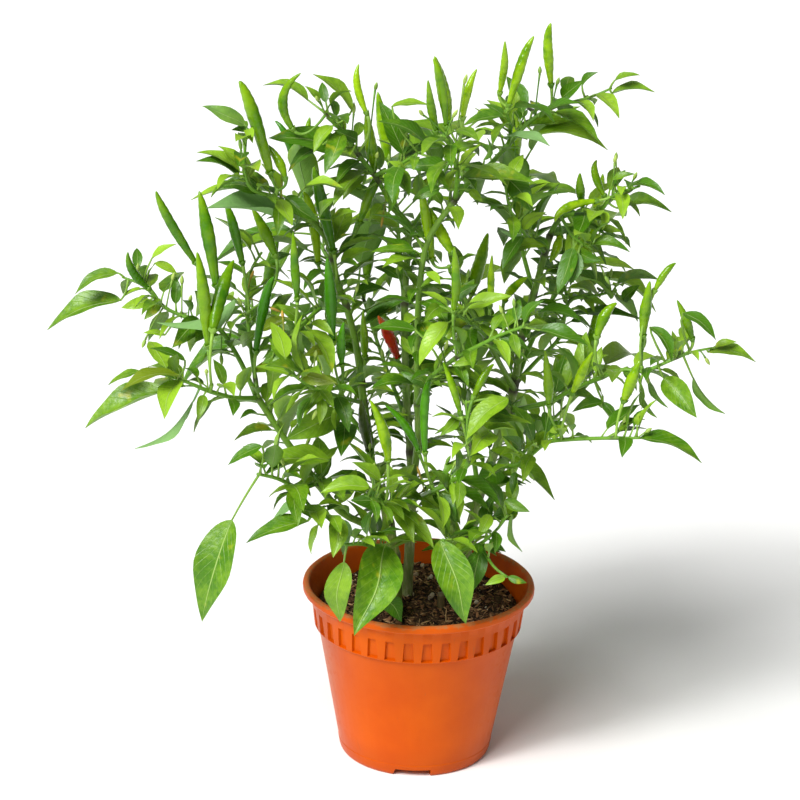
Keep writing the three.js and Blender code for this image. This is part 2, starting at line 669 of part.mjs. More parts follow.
const channelFloor = pot.channelHeight + pot.floor;
const potInside = [
  [pot.lipInnerRadius, pot.height - pot.lipRound],
  [pot.collarTopRadius - pot.wall, pot.height - pot.lipHeight],
  [pot.bodyTopRadius - pot.wall, pot.collarFoot - pot.step],
  [pot.bodyFootRadius - pot.wall, channelFloor],
  [pot.channelRadius - pot.slopeInset, channelFloor],
  [pot.discRadius - pot.slopeInset, pot.floor],
];

function makePot() {
  const lip = pot.height - pot.lipHeight;
  const profile = [
    [0, 0],
    [pot.discRadius, 0],
    [pot.channelRadius, pot.channelHeight],
    [pot.footRadius - pot.footWidth, pot.channelHeight],
    [pot.footRadius - pot.footWidth, 0],
    [pot.footRadius, 0],
    [pot.bodyFootRadius, pot.edgeHeight],
    [pot.bodyTopRadius, pot.collarFoot],
    [pot.collarFootRadius, pot.collarFoot],
    [pot.collarTopRadius, lip],
    [pot.rimRadius, lip + pot.lipRound],
    [pot.rimRadius - pot.lipRound * 0.4, pot.height - pot.lipRound / 2],
    [pot.rimRadius - pot.lipRound * 1.2, pot.height],
    ...potInside,
    [0, pot.floor],
  ];
  const cuts = [];
  for (let i = 0; i < slot.count; i += 1) {
    const turn = (2 * Math.PI * (i + 0.5)) / slot.count;
    const middle = slot.foot + slot.height / 2;
    const share = (middle - pot.collarFoot) / (lip - pot.collarFoot);
    const face = pot.collarFootRadius + share * (pot.collarTopRadius - pot.collarFootRadius);
    cuts.push(block(slot.width, 2 * slot.depth, slot.height, turn, face, middle));
  }
  for (let i = 0; i < notch.count; i += 1) {
    const turn = degrees(-90 + notch.turn) + (2 * Math.PI * i) / notch.count;
    cuts.push(block(notch.width, notch.depth, 2 * notch.height, turn, pot.footRadius, 0));
  }
  for (let i = 0; i < drain.count; i += 1) {
    const hole = new THREE.CylinderGeometry(drain.radius, drain.radius, 4 * pot.floor, drain.sides);
    hole.rotateX(Math.PI / 2).translate(drain.circle, 0, pot.channelHeight);
    hole.rotateZ((2 * Math.PI * i) / drain.count);
    cuts.push(solidOfGeometry(hole));
  }
  return turned(profile, pot.facets).subtract(wasm.Manifold.union(cuts));
}

// Soil fills the pot up to a low uneven top, and the stems stand in it.
function makeSoil(stemTubes) {
  const [, [topRadius, topZ], [r, z], ...lower] = potInside;
  const edge = soil.top - soil.edgeDrop;
  const edgeRadius = r + ((edge - z) / (topZ - z)) * (topRadius - r);
  const rows = lower.reverse().map(([radius, height]) => [radius, height + soil.gap]);
  rows.push([r, z], [edgeRadius, edge]);
  const rings = rows.map(([radius, height]) =>
    ringAt(vec(0, 0, height), up, vec(0, -1, 0), radius - soil.sideGap, pot.facets));
  const outer = rings.at(-1);
  for (const share of soil.rings) {
    rings.push(outer.map((corner, i) => {
      const height = soil.top + soil.relief * (draw(i * 7 + share * 100) - 0.5);
      return vec(corner.x * share, corner.y * share, height);
    }));
  }
  rings.push([vec(0, 0, soil.top)]);
  return skin(rings).subtract(wasm.Manifold.union(stemTubes));
}

// ---- Limbs ----
// Each limb in space, with the node that it belongs to.
const limbsInSpace = [];

function layLimb(node, rows, isStem, isFirst) {
  const points = rows.map(([x, y, depth]) => spot(x, y, depth));
  const radii = rows.map((row) => row[3]);
  const seen = rows.map(([x, y]) => [x, y]);
  if (isStem && isFirst) {
    const foot = points[0].clone();
    foot.z = soil.top - stemDepthInSoil;
    const collar = points[0].clone();
    collar.z = soil.top;
    points[0] = collar;
    points.unshift(foot);
    radii.unshift(radii[0]);
    seen.unshift(seen[0]);
  }
  limbsInSpace.push({ node, points, radii, seen, isFirst, sides: isStem ? stemSides : twigSides });
}

for (const [node, { limbs }] of Object.entries(stems))
  limbs.forEach((rows, i) => layLimb(node, rows, true, i === 0));
for (const [node, { limbs }] of Object.entries(sprays))
  limbs.forEach((rows, i) => layLimb(node, rows, false, i === 0));

// The place on the limbs of a node, or on any where node is "", that the view shows nearest to a pixel.
function nearestOnLimbs(x, y, node) {
  let best = { gap: Infinity };
  for (const limb of limbsInSpace) {
    if (node && limb.node !== node) continue;
    for (let i = 0; i + 1 < limb.points.length; i += 1) {
      const [x0, y0] = limb.seen[i];
      const [x1, y1] = limb.seen[i + 1];
      const length = (x1 - x0) ** 2 + (y1 - y0) ** 2;
      if (length === 0) continue;
      const run = limb.points[i].distanceTo(limb.points[i + 1]);
      const least = i === 0 && limb.isFirst ? firstFoot / run : 0;
      const most = i + 2 === limb.points.length ? 1 - lastFoot / run : 1;
      const t = Math.min(most, Math.max(least, ((x - x0) * (x1 - x0) + (y - y0) * (y1 - y0)) / length));
      const gap = Math.hypot(x0 + t * (x1 - x0) - x, y0 + t * (y1 - y0) - y);
      if (gap >= best.gap - 1e-9) continue;
      const [from, to] = [limb.points[i], limb.points[i + 1]];
      const radius = limb.radii[i] + t * (limb.radii[i + 1] - limb.radii[i]);
      const direction = to.clone().sub(from).normalize();
      best = { gap, point: between(from, to, t), direction, radius, node: limb.node };
    }
  }
  return best;
}

// ---- What room is taken ----
// Balls that stand for the organs placed so far: [point, radius, node, kind].
const taken = [];

function ballsAlong(points, radii, step, reach, node, kind) {
  const balls = [];
  for (let i = 0; i + 1 < points.length; i += 1) {
    const count = Math.max(1, Math.ceil(points[i].distanceTo(points[i + 1]) / step));
    for (let k = 0; k < count; k += 1) {
      const t = k / count;
      const radius = radii[i] + t * (radii[i + 1] - radii[i]) + reach;
      balls.push([between(points[i], points[i + 1], t), radius, node, kind]);
    }
  }
  return balls;
}

// A stalk's balls, past the stretch that stands close to what carries it.
const stalkBalls = (foot, end, radius, node) =>
  ballsAlong([foot, end], [radius, radius], 4, keepOff.stalk, node, "stalk").filter(
    ([p]) => p.distanceTo(foot) > stalkFree,
  );

// The least room between new balls and those that are taken: below 0 they touch.
function room(balls) {
  let least = Infinity;
  const middle = balls[Math.floor(balls.length / 2)][0];
  const reach = Math.max(...balls.map(([p, r]) => p.distanceTo(middle) + r));
  const near = taken.filter(([p, r]) => p.distanceTo(middle) < reach + r + 1);
  for (const [p, r, node, kind] of balls)
    for (const [q, s, other, otherKind] of near) {
      if (other === node && (kind === "stalk" || otherKind === "stalk")) continue;
      if (other === node && otherKind === "limb" && kind !== "blade") continue;
      const share = other === node ? keepOff.sameNode : 1;
      least = Math.min(least, p.distanceTo(q) - (r + s) * share);
    }
  return least;
}

// The first of several ways to place an organ that is clear of the others, or none.
function firstClear(ways, make) {
  for (const way of ways) {
    const organ = make(way);
    if (organ && room(organ.balls) > 0) {
      taken.push(...organ.balls);
      return organ;
    }
  }
  return null;
}

for (const limb of limbsInSpace)
  taken.push(...ballsAlong(limb.points, limb.radii, 5, keepOff.limb, limb.node, "limb"));

// ---- Leaves ----
// A blade's half width at a share of its length, as a share of its greatest: 0 at the base and the tip,
// and 1 at about 0.4.
const bladeShape = (t) => 3.13 * t ** 0.72 * (1 - t) ** 0.95;

// A leaf from its foot on a limb, over its stalk, to its tip. Its upper face looks along face.
function makeLeaf(node, foot, base, tip, width, face) {
  const axis = tip.clone().sub(base);
  const length = axis.length();
  axis.normalize();
  const [normal, side] = frameOf(axis, face);
  const midAt = (t) =>
    between(base, tip, t).addScaledVector(normal, leaf.arch * length * Math.sin(Math.PI * t));
  const acrossAt = (t, s) => {
    const half = (width / 2) * bladeShape(t);
    return midAt(t).addScaledVector(side, s * half).addScaledVector(normal, leaf.fold * half * Math.abs(s));
  };
  // Across, a blade has its two edges and a keel under its midrib.
  const bladeRing = (t) => [acrossAt(t, 1), midAt(t).addScaledVector(normal, -leaf.keel), acrossAt(t, -1)];
  const stalk = leaf.stalkRadius;
  const stalkRing = (at, towards) => {
    const direction = towards.clone().sub(at).normalize();
    const [a, b] = frameOf(direction, normal);
    return [60, 180, 300].map((turn) =>
      at
        .clone()
        .addScaledVector(a, stalk * Math.cos(degrees(turn)))
        .addScaledVector(b, stalk * Math.sin(degrees(turn))));
  };
  const stations = length < leaf.small ? leaf.smallStations : leaf.stations;
  const isStalked = foot.distanceTo(base) > leaf.shortStalk;
  const rings = [
    ...(isStalked ? [stalkRing(foot, base), stalkRing(base, tip)] : [stalkRing(foot, midAt(stations[0]))]),
    ...stations.map(bladeRing),
    [tip],
  ];
  const balls = stalkBalls(foot, base, stalk, node);
  const steps = Math.max(3, Math.ceil(length / 7));
  for (let i = 1; i <= steps; i += 1) {
    const t = (i - 0.25) / steps;
    const beside = Math.floor(((width / 2) * bladeShape(t)) / leaf.ballGap);
    for (let j = -beside; j <= beside; j += 1) {
      balls.push([acrossAt(t, (leaf.ballReach * j) / Math.max(1, beside)), keepOff.blade, node, "blade"]);
    }
  }
  return { balls, build: () => skin(rings) };
}

// The ways to turn a read leaf out of the way, as changes of its base's and its tip's depth.
const leafWays = [[0, 0], [0, -14], [0, 14], [-8, -22], [8, 22], [-8, -36], [8, 36], [-16, -30], [16, 30],
  [-16, -52], [16, 52], [-26, -40], [26, 40], [-30, -66], [30, 66]];

function readLeaf(node, row, seed) {
  const [baseX, baseY, tipX, tipY, widthSeen, face = 1, shift] = row;
  const start = nearestOnLimbs(baseX, baseY, node);
  const depth = start.point.y;
  return firstClear([1, 0.82].flatMap((scale) => leafWays.map((way) => [...way, scale])), (way) => {
    const [baseShift, tipShift, scale] = way;
    const base = spot(baseX, baseY, depth + baseShift);
    const millimetres = seenAt(base)[2];
    const seenLength = Math.hypot(tipX - baseX, tipY - baseY) * millimetres;
    const seenWidth = widthSeen * millimetres;
    const hidden = Math.sqrt(Math.max(0, (seenWidth / leaf.slenderness) ** 2 - seenLength ** 2));
    const lean = shift ?? -Math.max(hidden, 0.3 * seenLength * (draw(seed) - 0.2));
    const seenTip = spot(tipX, tipY, depth + lean + tipShift);
    const tip = between(base, seenTip, scale);
    const length = tip.distanceTo(base);
    const width = Math.min(Math.max(seenWidth, leaf.slenderness * length), leaf.widest * length) * scale;
    const axis = tip.clone().sub(base).normalize();
    const [towards, beside] = frameOf(axis, eye.clone().sub(base).normalize());
    const open = Math.min(1, Math.max(0.2, seenWidth / width));
    const turn = Math.sqrt(1 - open * open);
    if (beside.z * face < 0) beside.negate();
    const normal = towards.multiplyScalar(open).addScaledVector(beside, turn * face).multiplyScalar(face);
    if (face < 0 && normal.z < 0 && turn > 0.5) normal.addScaledVector(beside, 2 * turn);
    return makeLeaf(node, start.point, base, tip, width, normal.normalize());
  });
}

const insideOutline = (x, y) => {
  let inside = false;
  crownOutline.forEach(([x0, y0], i) => {
    const [x1, y1] = crownOutline[(i + 1) % crownOutline.length];
    if (y0 > y !== y1 > y && x < x0 + ((y - y0) / (y1 - y0)) * (x1 - x0)) inside = !inside;
  });
  return inside;
};
const fitsTheView = (point) => {
  const [x, y] = seenAt(point);
  return insideOutline(x, y) && crownGaps.every(([cx, cy, r]) => Math.hypot(x - cx, y - cy) > r);
};

function alongLimb(limb, share) {
  const lengths = limb.points.slice(1).map((p, i) => p.distanceTo(limb.points[i]));
  let left = share * lengths.reduce((a, b) => a + b, 0);
  let i = 0;
  while (i < lengths.length - 1 && left > lengths[i]) {
    left -= lengths[i];
    i += 1;
  }
  const direction = limb.points[i + 1].clone().sub(limb.points[i]).normalize();
  return [between(limb.points[i], limb.points[i + 1], left / lengths[i]), direction];
}

// Leaves round a limb by the golden angle, each turned on until it is clear.
function ruleLeaves(node, count, seed) {
  const limb = limbsInSpace.find((l) => l.node === node);
  const leaves = [];
  for (let k = 0; k < count; k += 1) {
    const share = ruleLeaf.first + ((1 - ruleLeaf.first) * (k + 1)) / count;
    const isLast = k + 1 === count;
    const [foot, direction] = alongLimb(limb, Math.min(share, 0.99));
    const length = ruleLeaf.length + ruleLeaf.lengthSpread * draw(seed + 3 * k);
    const stalk = ruleLeaf.stalk + ruleLeaf.stalkSpread * draw(seed + 3 * k + 1);
    const tilt = ruleLeaf.tilt * (draw(seed + 3 * k + 2) - 0.5);
    const organ = firstClear([...Array(ruleLeaf.tries).keys()], (i) => {
      const turn = goldenAngle * (k + seed) + i * ruleLeaf.turnStep;
      const scale = i < ruleLeaf.tries / 2 ? 1 : ruleLeaf.smaller;
      const [a, b] = frameOf(direction, up);
      const out = a.multiplyScalar(Math.cos(turn)).addScaledVector(b, Math.sin(turn));
      const heading = direction.clone().multiplyScalar(isLast ? 1 : 0.45).add(out);
      heading.z -= ruleLeaf.droop;
      heading.normalize();
      const base = foot.clone().addScaledVector(heading, stalk).addScaledVector(up, ruleLeaf.lift);
      heading.z -= ruleLeaf.tipDroop;
      const tip = base.clone().addScaledVector(heading.normalize(), length * scale);
      if (![base, between(base, tip, 0.55), tip].every(fitsTheView)) return null;
      const face = up.clone().addScaledVector(out.clone().cross(direction), tilt);
      return makeLeaf(node, foot, base, tip, leaf.slenderness * length * scale, face);
    });
    if (organ) leaves.push(organ);
  }
  return leaves;
}

// ---- Chillies ----
// A chilli from its foot, over its stalk and calyx, along a curve to its tip.
function makeChilli(node, foot, base, middle, tip, width) {
  const bend = middle.clone().multiplyScalar(2).addScaledVector(base, -0.5).addScaledVector(tip, -0.5);
  const curve = new THREE.QuadraticBezierCurve3(base, bend, tip);
  const radius = width / 2;
  const body = chilli.stations.map(([t, share]) =>
    ringAt(curve.getPoint(t), curve.getTangent(t), ringWish, radius * share, chilli.sides));
  const rise = curve.getTangent(0);
  const neck = base.clone().addScaledVector(rise, -chilli.neck);
  const stalk = neck.clone().sub(foot).normalize();
  const isBent = neck.distanceTo(foot) > chilli.straightStalk;
  const bisector = stalk.clone().add(rise).normalize();
  const rings = [
    ringAt(foot, stalk, ringWish, chilli.stalkRadius, chilli.sides),
    ...(isBent ? [ringAt(neck, bisector, ringWish, chilli.stalkRadius, chilli.sides)] : []),
    ringAt(base, rise, ringWish, radius * chilli.calyx, chilli.sides),
    ...body,
    [tip],
  ];
  const along = [0, 0.2, 0.4, 0.6, 0.8, 1].map((t) => curve.getPoint(t));
  const radii = [0.8, 0.95, 1, 0.9, 0.6, 0.1].map((share) => radius * share);
  const balls = stalkBalls(foot, neck, chilli.stalkRadius, node);
  balls.push(...ballsAlong(along, radii, 5, keepOff.chilli, node, "chilli"));
  return { balls, build: () => skin(rings) };
}

const chilliWays = [0, -6, 6, -12, 12, -20, 20, -28, 28, -38, 38, -50, 50];

// Organs of each node, in the order that they are placed in.
const organs = Object.fromEntries(
  [...Object.keys(stems), ...Object.keys(sprays)].map((node) => [node, []]),
);
const bunchColours = {};

for (const { node, foot, chillies, colour = "chilli" } of bunches) {
  const start = nearestOnLimbs(foot[0], foot[1], "");
  const owner = node || start.node;
  organs[owner] ??= [];
  if (node) bunchColours[node] = colour;
  let from = start.point;
  if (chillies.length > 1) {
    // A bunch stands on one short stalk of its own, which its chillies' stalks part from.
    const heading = vec(0, 0, 0);
    for (const [, , , , x, y] of chillies)
      heading.add(spot(x, y, start.point.y).sub(start.point).normalize());
    heading.normalize().addScaledVector(start.direction, -0.75 * heading.dot(start.direction));
    heading.addScaledVector(forward, -0.3).normalize();
    const fork = start.point.clone().addScaledVector(heading, start.radius + chilli.sharedStalk);
    const shared = tube([start.point, fork], [chilli.sharedRadius, chilli.sharedRadius], chilli.sides);
    organs[owner].push({ build: () => shared });
    from = fork.clone().addScaledVector(heading, -1);
  }
  for (const row of chillies) {
    const [tipX, tipY, midX, midY, baseX, baseY, widthSeen, lean] = row;
    const placed = firstClear(chilliWays, (shift) => {
      const depth = start.point.y + shift * 0.6;
      const base = spot(baseX, baseY, depth);
      const middle = spot(midX, midY, depth + lean * 0.5 + shift * 0.2);
      const tip = spot(tipX, tipY, depth + lean + shift * 0.4);
      return makeChilli(owner, from, base, middle, tip, widthSeen * seenAt(base)[2]);
    });
    if (placed) organs[owner].push(placed);
  }
}

// Upright chillies on a limb, each turned on until it is clear.
function ruleChillies(node, count, seed) {
  const limb = limbsInSpace.find((l) => l.node === node);
  const made = [];
  for (let k = 0; k < count; k += 1) {
    const [foot, direction] = alongLimb(limb, 0.5 + (0.4 * (k + 1)) / count);
    const lean = ruleChilli.lean + ruleChilli.leanSpread * draw(seed + k);
    const width = ruleChilli.width + ruleChilli.widthSpread * draw(seed + k + 9);
    const organ = firstClear([...Array(ruleChilli.tries).keys()], (i) => {
      const turn = 0.8 * i + seed;
      const out = vec(Math.cos(turn), Math.sin(turn), 0);
      const base = foot.clone().addScaledVector(out, ruleChilli.out).addScaledVector(up, ruleChilli.rise);
      const tip = base.clone().addScaledVector(out, lean).addScaledVector(up, ruleChilli.length);
      const middle = between(base, tip, 0.5).addScaledVector(direction, 2);
      return makeChilli(node, foot, base, middle, tip, width);
    });
    if (organ) made.push(organ);
  }
  return made;
}

// ---- Buds ----
// A bud nods at the end of a thin stalk.
function makeBud(node, foot, end) {
  const neck = between(foot, end, bud.neck);
  const stalk = neck.clone().sub(foot).normalize();
  const rise = end.clone().sub(neck).normalize();
  const rings = [
    ringAt(foot, stalk, ringWish, bud.stalkRadius, twigSides),
    ringAt(neck, stalk, ringWish, bud.stalkRadius * 1.2, twigSides),
    ringAt(between(neck, end, 0.6), rise, ringWish, bud.radius, twigSides),
    [end],
  ];
  const balls = stalkBalls(foot, neck, bud.stalkRadius, node);
  balls.push(...ballsAlong([neck, end], [bud.radius, bud.radius], 3, 0.4, node, "bud"));
  return { balls, build: () => skin(rings) };
}

Object.entries(sprays).forEach(([node, spray], number) => {
  spray.leaves.forEach((row, i) => {
    const placed = readLeaf(node, row, 20 * number + i);
    if (placed) organs[node].push(placed);
  });
});
Object.entries(sprays).forEach(([node, spray], number) => {
  for (const [footX, footY, endX, endY] of spray.buds) {
    const start = nearestOnLimbs(footX, footY, node);
    const placed = firstClear([0, -8, 8, -16, 16, -26, 26], (shift) =>
      makeBud(node, start.point, spot(endX, endY, start.point.y + shift)));
    if (placed) organs[node].push(placed);
  }
  organs[node].push(...ruleChillies(node, spray.chilliesByRule ?? 0, 60 + number));
});
Object.entries(sprays).forEach(([node, spray], number) => {
  organs[node].push(...ruleLeaves(node, spray.leavesByRule, 40 * number + 7));
});

// ---- Nodes ----
const largestOf = (solid) =>
  solid.decompose().reduce((best, body) => (body.volume() > best.volume() ? body : best));
const touches = (a, b) =>
  a.min[0] < b.max[0] && b.min[0] < a.max[0] && a.min[1] < b.max[1] && b.min[1] < a.max[1] &&
  a.min[2] < b.max[2] && b.min[2] < a.max[2];

const grownLimbs = limbsInSpace.map((limb) => {
  const solid = tube(limb.points, limb.radii, limb.sides, meetingGap);
  return { node: limb.node, solid, box: solid.boundingBox() };
});

function joinNode(node, earlier) {
  const own = limbsInSpace.filter((limb) => limb.node === node);
  const pieces = own.map((limb) => tube(limb.points, limb.radii, limb.sides));
  pieces.push(...organs[node].map((organ) => organ.build()));
  let solid = wasm.Manifold.union(pieces);
  const box = solid.boundingBox();
  const cuts = grownLimbs.filter((g) => earlier.has(g.node) && touches(g.box, box));
  if (cuts.length) solid = solid.subtract(wasm.Manifold.union(cuts.map((g) => g.solid)));
  return largestOf(solid);
}

const group = new THREE.Group();

function addNode(name, solid, colour, roughness) {
  const { vertProperties, triVerts } = solid.getMesh();
  const geometry = new THREE.BufferGeometry();
  geometry.setAttribute("position", new THREE.BufferAttribute(vertProperties, 3));
  geometry.setIndex(new THREE.BufferAttribute(triVerts, 1));
  const material = new THREE.MeshStandardMaterial({ color: colour, roughness, metalness: 0 });
  const mesh = new THREE.Mesh(geometry, material);
  mesh.name = name;
  group.add(mesh);
}

addNode("pot", makePot(), colours.pot, 0.45);
const buriedTubes = limbsInSpace
  .filter((limb) => limb.node in stems && limb.points[0].z < soil.top - 1)
  .map((limb) => tube(limb.points.slice(0, 3), limb.radii.slice(0, 3), stemSides, meetingGap));
addNode("soil", makeSoil(buriedTubes), colours.soil, 0.95);

const earlier = new Set();
for (const node of Object.keys(organs)) {
  const isStem = node in stems;
  const colour = isStem ? colours.stem : node in sprays ? colours.leaf : colours[bunchColours[node]];
  addNode(node, joinNode(node, earlier), colour, isStem ? 0.7 : 0.5);
  earlier.add(node);
}

export default group;
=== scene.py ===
import math

import bpy
import numpy as np
from mathutils import Matrix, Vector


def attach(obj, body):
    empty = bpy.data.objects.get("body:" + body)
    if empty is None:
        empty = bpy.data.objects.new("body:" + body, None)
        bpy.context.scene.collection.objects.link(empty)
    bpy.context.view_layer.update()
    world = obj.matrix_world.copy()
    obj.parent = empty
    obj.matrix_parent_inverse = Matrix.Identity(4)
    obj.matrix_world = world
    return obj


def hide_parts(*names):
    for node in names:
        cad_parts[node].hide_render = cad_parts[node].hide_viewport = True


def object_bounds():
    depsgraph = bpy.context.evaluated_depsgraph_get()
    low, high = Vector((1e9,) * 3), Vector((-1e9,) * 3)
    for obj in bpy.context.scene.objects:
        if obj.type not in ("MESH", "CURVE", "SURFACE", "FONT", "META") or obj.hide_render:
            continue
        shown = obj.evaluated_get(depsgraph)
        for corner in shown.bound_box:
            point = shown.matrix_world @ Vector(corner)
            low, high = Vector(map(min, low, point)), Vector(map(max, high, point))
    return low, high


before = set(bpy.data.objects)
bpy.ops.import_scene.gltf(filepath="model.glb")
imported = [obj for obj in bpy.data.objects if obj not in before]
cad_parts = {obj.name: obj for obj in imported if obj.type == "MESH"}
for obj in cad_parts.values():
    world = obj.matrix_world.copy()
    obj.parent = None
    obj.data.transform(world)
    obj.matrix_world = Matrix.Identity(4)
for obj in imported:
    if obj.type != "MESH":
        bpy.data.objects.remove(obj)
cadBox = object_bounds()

# A chilli plant in its pot. Places are worked out in millimetres and written to the meshes in metres.
# The plant's places are pixels of the 800 x 800 photograph with a depth behind the pot's axis.
mm = 0.001
goldenAngle = math.pi * (3 - math.sqrt(5))
drawnTurn = 6.28  # the full turn that a draw takes a share of
up = np.array([0.0, 0.0, 1.0])
ringWish = np.array([0.3, -1.0, 0.2])  # a direction that no upright fruit or stalk runs along


# Camera: the photograph's view, as fitted to the pot's rim and foot. Angles are in degrees, the focal
# length and the picture's middle in pixels, and clipEnd in metres.
view = {"pitch": 19.587, "roll": 1.371, "focal": 2847.67, "middle": 400, "distance": 2400,
        "target": (-19.888, 0.0, 319.852), "sensor": 36, "pixels": 800, "clipEnd": 50}

pitch, roll = math.radians(view["pitch"]), math.radians(view["roll"])
forward = np.array([0.0, math.cos(pitch), -math.sin(pitch)])
eye = np.array(view["target"]) - forward * view["distance"]
levelUp = np.array([0.0, math.sin(pitch), math.cos(pitch)])
levelRight = np.array([1.0, 0.0, 0.0])
viewRight = levelRight * math.cos(roll) + levelUp * math.sin(roll)
viewUp = levelUp * math.cos(roll) - levelRight * math.sin(roll)


# The camera looks along forward from the eye, with viewRight and viewUp across its picture.
def addCamera():
    data = bpy.data.cameras.new("camera")
    data.sensor_width = view["sensor"]
    data.lens = view["focal"] * view["sensor"] / view["pixels"]
    data.clip_end = view["clipEnd"]
    camera = bpy.data.objects.new("camera", data)
    rows = np.eye(4)
    rows[:3, 0], rows[:3, 1], rows[:3, 2], rows[:3, 3] = viewRight, viewUp, -forward, eye * mm
    camera.matrix_world = Matrix(rows.tolist())
    bpy.context.scene.collection.objects.link(camera)
    bpy.context.scene.camera = camera


addCamera()


# Small helpers.
drawForm = {"turn": 12.9898, "start": 78.233, "scale": 43758.5453, "turns": (127.1, 311.7, 74.7),
            "seedTurn": 17.3}


# A repeatable draw from 0 to 1 for a whole number: the fraction of scale sin(seed turn + start).
def draw(seed):
    x = math.sin(seed * drawForm["turn"] + drawForm["start"]) * drawForm["scale"]
    return x - math.floor(x)


# A vector over its length.
def unit(v):
    return v / np.linalg.norm(v)


# The point of a pixel's ray at a depth.
def spot(x, y, depth):
    across, rise = (x - view["middle"]) / view["focal"], (view["middle"] - y) / view["focal"]
    ray = forward + viewRight * across + viewUp * rise
    return eye + ray * ((depth - eye[1]) / ray[1])


# Where the view shows a point, and the millimetres to a pixel there.
def seenAt(point):
    d = point - eye
    far = d @ forward
    return (view["middle"] + view["focal"] * (d @ viewRight) / far,
            view["middle"] - view["focal"] * (d @ viewUp) / far, far / view["focal"])


# Two directions square to one, the first as near as can be to a wish.
def frameOf(direction, wish):
    side = wish - direction * (wish @ direction)
    if side @ side < 1e-6:
        side = np.cross(direction[[2, 0, 1]], direction)
    side = unit(side)
    return side, np.cross(direction, side)


# Angles evenly round a circle.
def anglesRound(count):
    return 2 * math.pi * np.arange(count) / count


# Value noise from -1 to 1: draws at the corners of a grid's cells, blended by 3t^2 - 2t^3 inside them.
def lumps(points, size, seed):
    p = np.asarray(points, float) / size
    cell = np.floor(p)
    t = p - cell
    t = t * t * (3 - 2 * t)
    total = np.zeros(len(p))
    for corner in np.ndindex(2, 2, 2):
        at = cell + corner
        turned = at @ np.array(drawForm["turns"]) + seed * drawForm["seedTurn"]
        value = np.sin(turned) * drawForm["scale"]
        share = np.prod(np.where(corner, t, 1 - t), axis=1)
        total += share * (value - np.floor(value))
    return total * 2 - 1


# A way through points with its corners cut by arcs: an arc is (1-t)^2 a + 2t(1-t) corner + t^2 b, and a
# and b lie within reach of the corner and within a share of its straights. Rows are [x, y, z, radius].
def roundCorners(rows, reach, share=0.45, steps=4):
    rows = np.asarray(rows, float)
    way = [rows[0]]
    t = np.linspace(0, 1, steps)[:, None]
    for before, corner, after in zip(rows[:-2], rows[1:-1], rows[2:]):
        back, on = before - corner, after - corner
        a = corner + back * min(share, reach / max(np.linalg.norm(back[:-1]), 1e-9))
        b = corner + on * min(share, reach / max(np.linalg.norm(on[:-1]), 1e-9))
        way.extend((1 - t) ** 2 * a + 2 * t * (1 - t) * corner + t ** 2 * b)
    way.append(rows[-1])
    return np.array(way)


# Points spaced evenly along a way, and how far along it each lies.
def evenly(rows, step):
    lengths = np.linalg.norm(np.diff(rows[:, :3], axis=0), axis=1)
    along = np.concatenate([[0], np.cumsum(lengths)])
    count = max(3, int(math.ceil(along[-1] / step)) + 1)
    at = np.linspace(0, along[-1], count)
    return np.stack([np.interp(at, along, rows[:, i]) for i in range(rows.shape[1])], axis=1), at


# Rings round a way: centre + radius swell (cos a side + sin a other), both sides square to the way.
def ringsRound(centres, radii, sides, swell=None):
    directions = np.gradient(centres, axis=0)
    directions /= np.linalg.norm(directions, axis=1)[:, None]
    wish = np.eye(3)[np.argmin(np.abs(directions.mean(0)))]
    side = wish - directions * (directions @ wish)[:, None]
    side /= np.linalg.norm(side, axis=1)[:, None]
    other = np.cross(directions, side)
    turn = anglesRound(sides)[None, :, None]
    outward = np.cos(turn) * side[:, None] + np.sin(turn) * other[:, None]
    wide = radii[:, None] * np.ones(sides) if swell is None else radii[:, None] * swell
    return centres[:, None] + wide[:, :, None] * outward


# What a piece is made of so far: rings of corners skinned into quads, with a cap at each end.
def newBatch():
    return {"verts": [], "quads": [], "caps": [], "uv": [], "tone": [], "mark": [], "rim": [],
            "kinds": [], "capKinds": [], "count": 0}


# Adds a skin over rings of shape (rings, corners, 3). tone and mark are numbers for the material, kind
# is the material's number, rim marks the corners of a sharp edge, and turned marks those whose quads
# split along the other diagonal.
def addSkin(batch, rings, tone=0.5, mark=0.0, uv=None, kind=0, rim=None, turned=None):
    rows, corners = rings.shape[:2]
    total = rows * corners
    index = np.arange(total).reshape(rows, corners) + batch["count"]
    low, high = index[:-1], index[1:]
    quads = np.stack([low, np.roll(low, -1, 1), np.roll(high, -1, 1), high], axis=2)
    if turned is not None:
        quads[:, turned] = np.roll(quads[:, turned], -1, axis=2)
    batch["verts"].append(rings.reshape(-1, 3))
    batch["quads"].append(quads.reshape(-1, 4))
    batch["kinds"].append(np.broadcast_to(np.asarray(kind), (rows - 1,)).repeat(corners))
    batch["caps"] += [index[0][::-1], index[-1]]
    batch["capKinds"] += [np.ravel(kind)[0], np.ravel(kind)[-1]]
    batch["uv"].append(np.zeros((total, 2)) if uv is None else uv.reshape(-1, 2))
    batch["tone"].append(np.broadcast_to(np.asarray(tone, float), (rows, corners)).ravel())
    batch["mark"].append(np.broadcast_to(np.asarray(mark, float), (rows, corners)).ravel())
    batch["rim"].append(np.zeros(total, int) if rim is None else np.tile(rim, rows))
    batch["count"] += total


